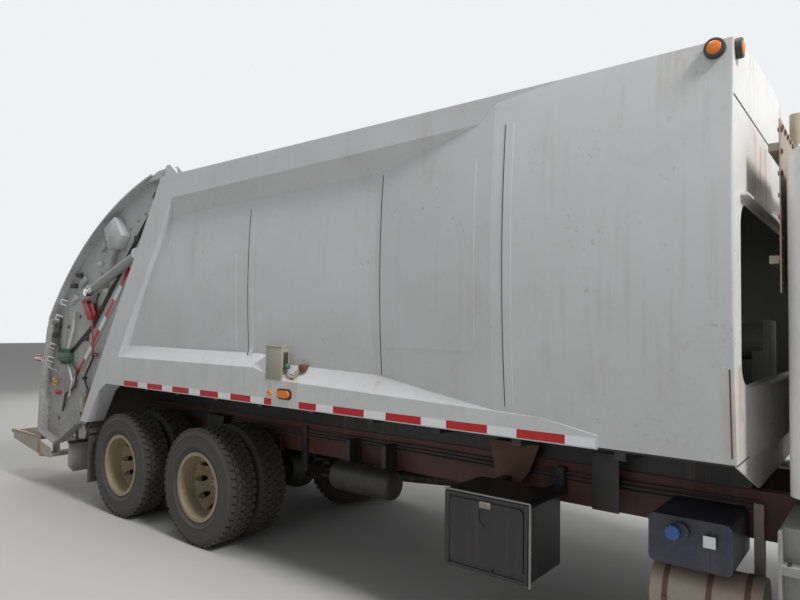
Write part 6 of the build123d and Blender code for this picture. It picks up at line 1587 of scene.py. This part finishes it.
def pad_block(name, low, high, pull):
    """A rounded block whose crown rises and whose sides pull in between the corners."""
    form = bmesh.new()
    bmesh.ops.create_cube(form, size=1.0)
    bmesh.ops.subdivide_edges(form, edges=form.edges[:], cuts=12, use_grid_fill=True)
    size, middle = size_and_middle(low, high)
    for vert in form.verts:
        u, v, w = [2.0 * value for value in vert.co]
        squeeze = 1.0 - pull * (1.0 - w * w)
        vert.co.x *= 1.0 - pull * (1.0 - v * v) * u * u
        vert.co.y *= 1.0 - pull * (1.0 - u * u) * v * v
        vert.co.x *= squeeze if abs(u) > 0.9 else 1.0
    bmesh.ops.scale(form, vec=size, verts=form.verts[:])
    bmesh.ops.translate(form, vec=middle, verts=form.verts[:])
    mesh = bpy.data.meshes.new(name)
    form.to_mesh(mesh)
    form.free()
    piece = new_object(name, mesh)
    even = piece.modifiers.new("even", "REMESH")
    even.mode = "VOXEL"
    even.voxel_size = PAD_VOXEL
    soft = piece.modifiers.new("soft", "SMOOTH")
    soft.factor = 0.5
    soft.iterations = 8
    bpy.context.view_layer.update()
    seen = piece.evaluated_get(bpy.context.evaluated_depsgraph_get())
    piece.data = bpy.data.meshes.new_from_object(seen)
    piece.modifiers.clear()
    return piece


def blow_up(piece, reach):
    """Cloth pressure moves each point outwards, by no more than reach."""
    cloth = piece.modifiers.new("cloth", "CLOTH")
    cloth.settings.use_pressure = True
    cloth.settings.uniform_pressure_force = PAD_PRESSURE
    cloth.settings.effector_weights.gravity = 0.0
    scene = bpy.context.scene
    for frame_number in range(1, PAD_FRAMES + 1):
        scene.frame_set(frame_number)
    seen = piece.evaluated_get(bpy.context.evaluated_depsgraph_get())
    blown = [vert.co.copy() for vert in seen.data.vertices]
    piece.modifiers.clear()
    scene.frame_set(1)
    for vert, end in zip(piece.data.vertices, blown):
        shift = end - vert.co
        if shift.length > reach:
            shift *= reach / shift.length
        vert.co += shift


def press_channels(piece, axis, places, half_width, depth, facing):
    """Grooves where the cover is sewn down, on the faces that look along facing."""
    away = Vector(facing)
    piece.data.update()
    for vert in piece.data.vertices:
        shows = max(0.0, vert.normal.dot(away))
        for place in places:
            share = (vert.co[axis] - place) / half_width
            vert.co -= away * depth * shows * e ** (-share * share)


def lean_back(piece, foot_z, slope, thinning):
    """Leans an upright pad rearward and thins it towards its top."""
    middle = ahead(4.80)
    for vert in piece.data.vertices:
        rise = vert.co.z - foot_z
        vert.co.x = middle + (vert.co.x - middle) * (1.0 - thinning * rise) - slope * rise


def seat_pad(name, piece):
    """Ends a pad: fabric, one subdivision, and what it stands for."""
    piece.data.materials.clear()
    piece.data.materials.append(MATERIALS["seat_fabric"])
    finer = piece.modifiers.new("finer", "SUBSURF")
    finer.levels = 1
    finer.render_levels = 1
    piece.data.shade_smooth()
    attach(piece, "chassis")
    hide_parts("seats")
    print(name, len(piece.data.polygons), "faces, padded")


cushion = pad_block("seat_cushion_left", (CUSHION_REAR, 0.255, 1.555), (CUSHION_FRONT, 0.705, 1.635), 0.04)
backrest = pad_block("seat_back_left", (BACK_REAR, 0.275, 1.665), (BACK_FRONT, 0.685, 2.325), 0.04)
blow_up(cushion, CUSHION_REACH)
blow_up(backrest, BACK_REACH)
press_channels(cushion, 1, (0.36, 0.60), CHANNEL_HALF, 0.010, (0.0, 0.0, 1.0))
press_channels(cushion, 0, (ahead(4.98),), CHANNEL_HALF, 0.007, (0.0, 0.0, 1.0))
press_channels(backrest, 1, (0.37, 0.59), CHANNEL_HALF, 0.010, (1.0, 0.0, 0.0))
press_channels(backrest, 2, (2.13,), CHANNEL_HALF, 0.009, (1.0, 0.0, 0.0))
lean_back(backrest, 1.63, 0.11, 0.25)
pads = [("seat_cushion_left", cushion), ("seat_back_left", backrest)]
for name, piece in list(pads):
    twin_name = name.replace("left", "right")
    twin = new_object(twin_name, piece.data.copy())
    twin.data.transform(Matrix.Translation((0.0, -2.0 * DRIVER_Y, 0.0)))
    pads.append((twin_name, twin))
for name, piece in pads:
    seat_pad(name, piece)

# %% Seat stands with rubber bellows
stands = bmesh.new()
bellows = bmesh.new()
for y in (-DRIVER_Y, DRIVER_Y):
    add_box(stands, at(4.82, y - 0.16, 1.2305), at(5.16, y + 0.16, 1.252), 0.004)
    add_box(stands, at(4.81, y - 0.165, 1.492), at(5.17, y + 0.165, 1.527), 0.008)
    for index in range(6):
        low = 1.252 + 0.040 * index
        add_box(bellows, at(4.84, y - 0.145, low), at(5.14, y + 0.145, low + 0.040), 0.017)
    for edge in (-0.225, 0.225):
        add_box(stands, at(4.775, y + edge - 0.006, 1.535), at(4.835, y + edge + 0.006, 1.76), 0.003)
    for edge, reach in ((-0.16, -0.070), (0.16, 0.070)):
        add_box(stands, at(4.79, y + edge - 0.006, 1.515), at(4.83, y + edge + reach, 1.54))
stand_piece = finish_piece("seat_stands", stands, "chassis", "chassis_black")
bellow_piece = finish_piece("seat_bellows", bellows, "chassis", "plastic_black")
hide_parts("seats")
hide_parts("seats")

# %% [markdown]
# ## Rear of the tailgate
#
# The crew hold white rails beside the hopper and stand on the steps. Lamps sit on the rim's rear
# edge, and a light rubber flap hangs ahead of the step.

# %% Grab rails, rim lamps, sill tape and flap
grabs = bmesh.new()
add_tube(grabs, [
    at(-3.215, 1.15, 1.25), at(-3.300, 1.15, 1.28), at(-3.175, 1.15, 1.90), at(-3.080, 1.15, 1.90)
], 0.015, 14)
finish_piece("tail_grab_rails", grabs, "tailgate", "hose_white", both=True)

rim_bezels = bmesh.new()
rim_red = bmesh.new()
rim_amber = bmesh.new()
rim_clear = bmesh.new()
RIM_LAMPS = ((0.74, rim_clear), (0.86, rim_amber), (0.98, rim_red))
for z, lens in RIM_LAMPS:
    rim_x = ahead(-3.262 + 0.053 * (z - 0.64))
    add_rod(rim_bezels, (rim_x + 0.002, 1.146, z), (rim_x - 0.010, 1.146, z), 0.050, 28)
    add_rod(lens, (rim_x - 0.009, 1.146, z), (rim_x - 0.018, 1.146, z), 0.041, 28, 0.030)
finish_piece("rim_lamp_bezels", rim_bezels, "tailgate", "plastic_black", both=True)
finish_piece("rim_lamps_red", rim_red, "tailgate", "lamp_red", both=True)
finish_piece("rim_lamps_amber", rim_amber, "tailgate", "lamp_amber", both=True)
finish_piece("rim_lamps_clear", rim_clear, "tailgate", "lamp_clear", both=True)

sill_red = bmesh.new()
sill_pale = bmesh.new()
SILL_X = ahead(-3.319)
SILL_PITCH = 0.24
for index in range(9):
    low_y = -1.07 + SILL_PITCH * index
    form = sill_red if index % 2 == 0 else sill_pale
    add_box(
        form, (SILL_X - 0.0014, low_y, 0.942),
        (SILL_X + 0.0004, min(low_y + SILL_PITCH, 1.07), 0.992)
    )
finish_piece("sill_tape_red", sill_red, "tailgate", "tape_red")
finish_piece("sill_tape_pale", sill_pale, "tailgate", "tape_pale")

flap = bmesh.new()
FLAP_X = ahead(-2.50)
flap_outline = [
    (-1.17, 0.60), (-0.76, 0.60), (-0.76, 0.33), (-0.82, 0.26), (-1.11, 0.26), (-1.17, 0.33)
]
add_slab(flap, [Vector((FLAP_X, y, z)) for y, z in flap_outline], (-0.008, 0.0, 0.0), 0.002)
finish_piece("tail_flaps", flap, "tailgate", "flap_grey", both=True)
flap_bars = bmesh.new()
add_box(flap_bars, (FLAP_X, -1.18, 0.585), (FLAP_X + 0.03, -0.75, 0.615), 0.004)
add_box(flap_bars, (FLAP_X + 0.002, -1.098, 0.61), (FLAP_X + 0.05, -1.088, 0.76), 0.003)
finish_piece("tail_flap_bars", flap_bars, "tailgate", "chassis_black", both=True)

# %% More fittings on the tailgate's side
clamps_dark = bmesh.new()
for place, height in ((-2.50, 2.50), (-2.62, 2.38), (-2.98, 1.92), (-3.04, 1.80)):
    add_box(
        clamps_dark, at(place - 0.035, -1.150, height - 0.03),
        at(place + 0.035, -1.091, height + 0.02), 0.006
    )
for place, height in ((-1.30, 2.86), (-1.62, 2.52), (-1.98, 2.14), (-2.30, 1.80)):
    add_box(
        clamps_dark, at(place - 0.055, -1.108, height - 0.055),
        at(place + 0.020, -1.0915, height + 0.005), 0.003
    )
finish_piece("tail_clamps_dark", clamps_dark, "tailgate", "seam_black_and_hole_shade", both=True)
clamps_white = bmesh.new()
for place, height in ((-2.92, 2.02), (-3.06, 1.68), (-3.10, 1.52), (-2.80, 2.20)):
    bend = [(0.0, -1.10, 0.0), (-0.02, -1.165, 0.02), (-0.05, -1.165, -0.03), (-0.04, -1.10, -0.05)]
    add_tube(clamps_white, [at(place + x, y, height + z) for x, y, z in bend], 0.009, 10)
for place, height in ((-2.05, 2.62), (-2.30, 2.36), (-1.90, 2.32)):
    add_box(
        clamps_white, at(place - 0.05, -1.120, height - 0.035),
        at(place + 0.05, -1.0915, height + 0.015), 0.005
    )
finish_piece("tail_clamps_white", clamps_white, "tailgate", "hose_white")
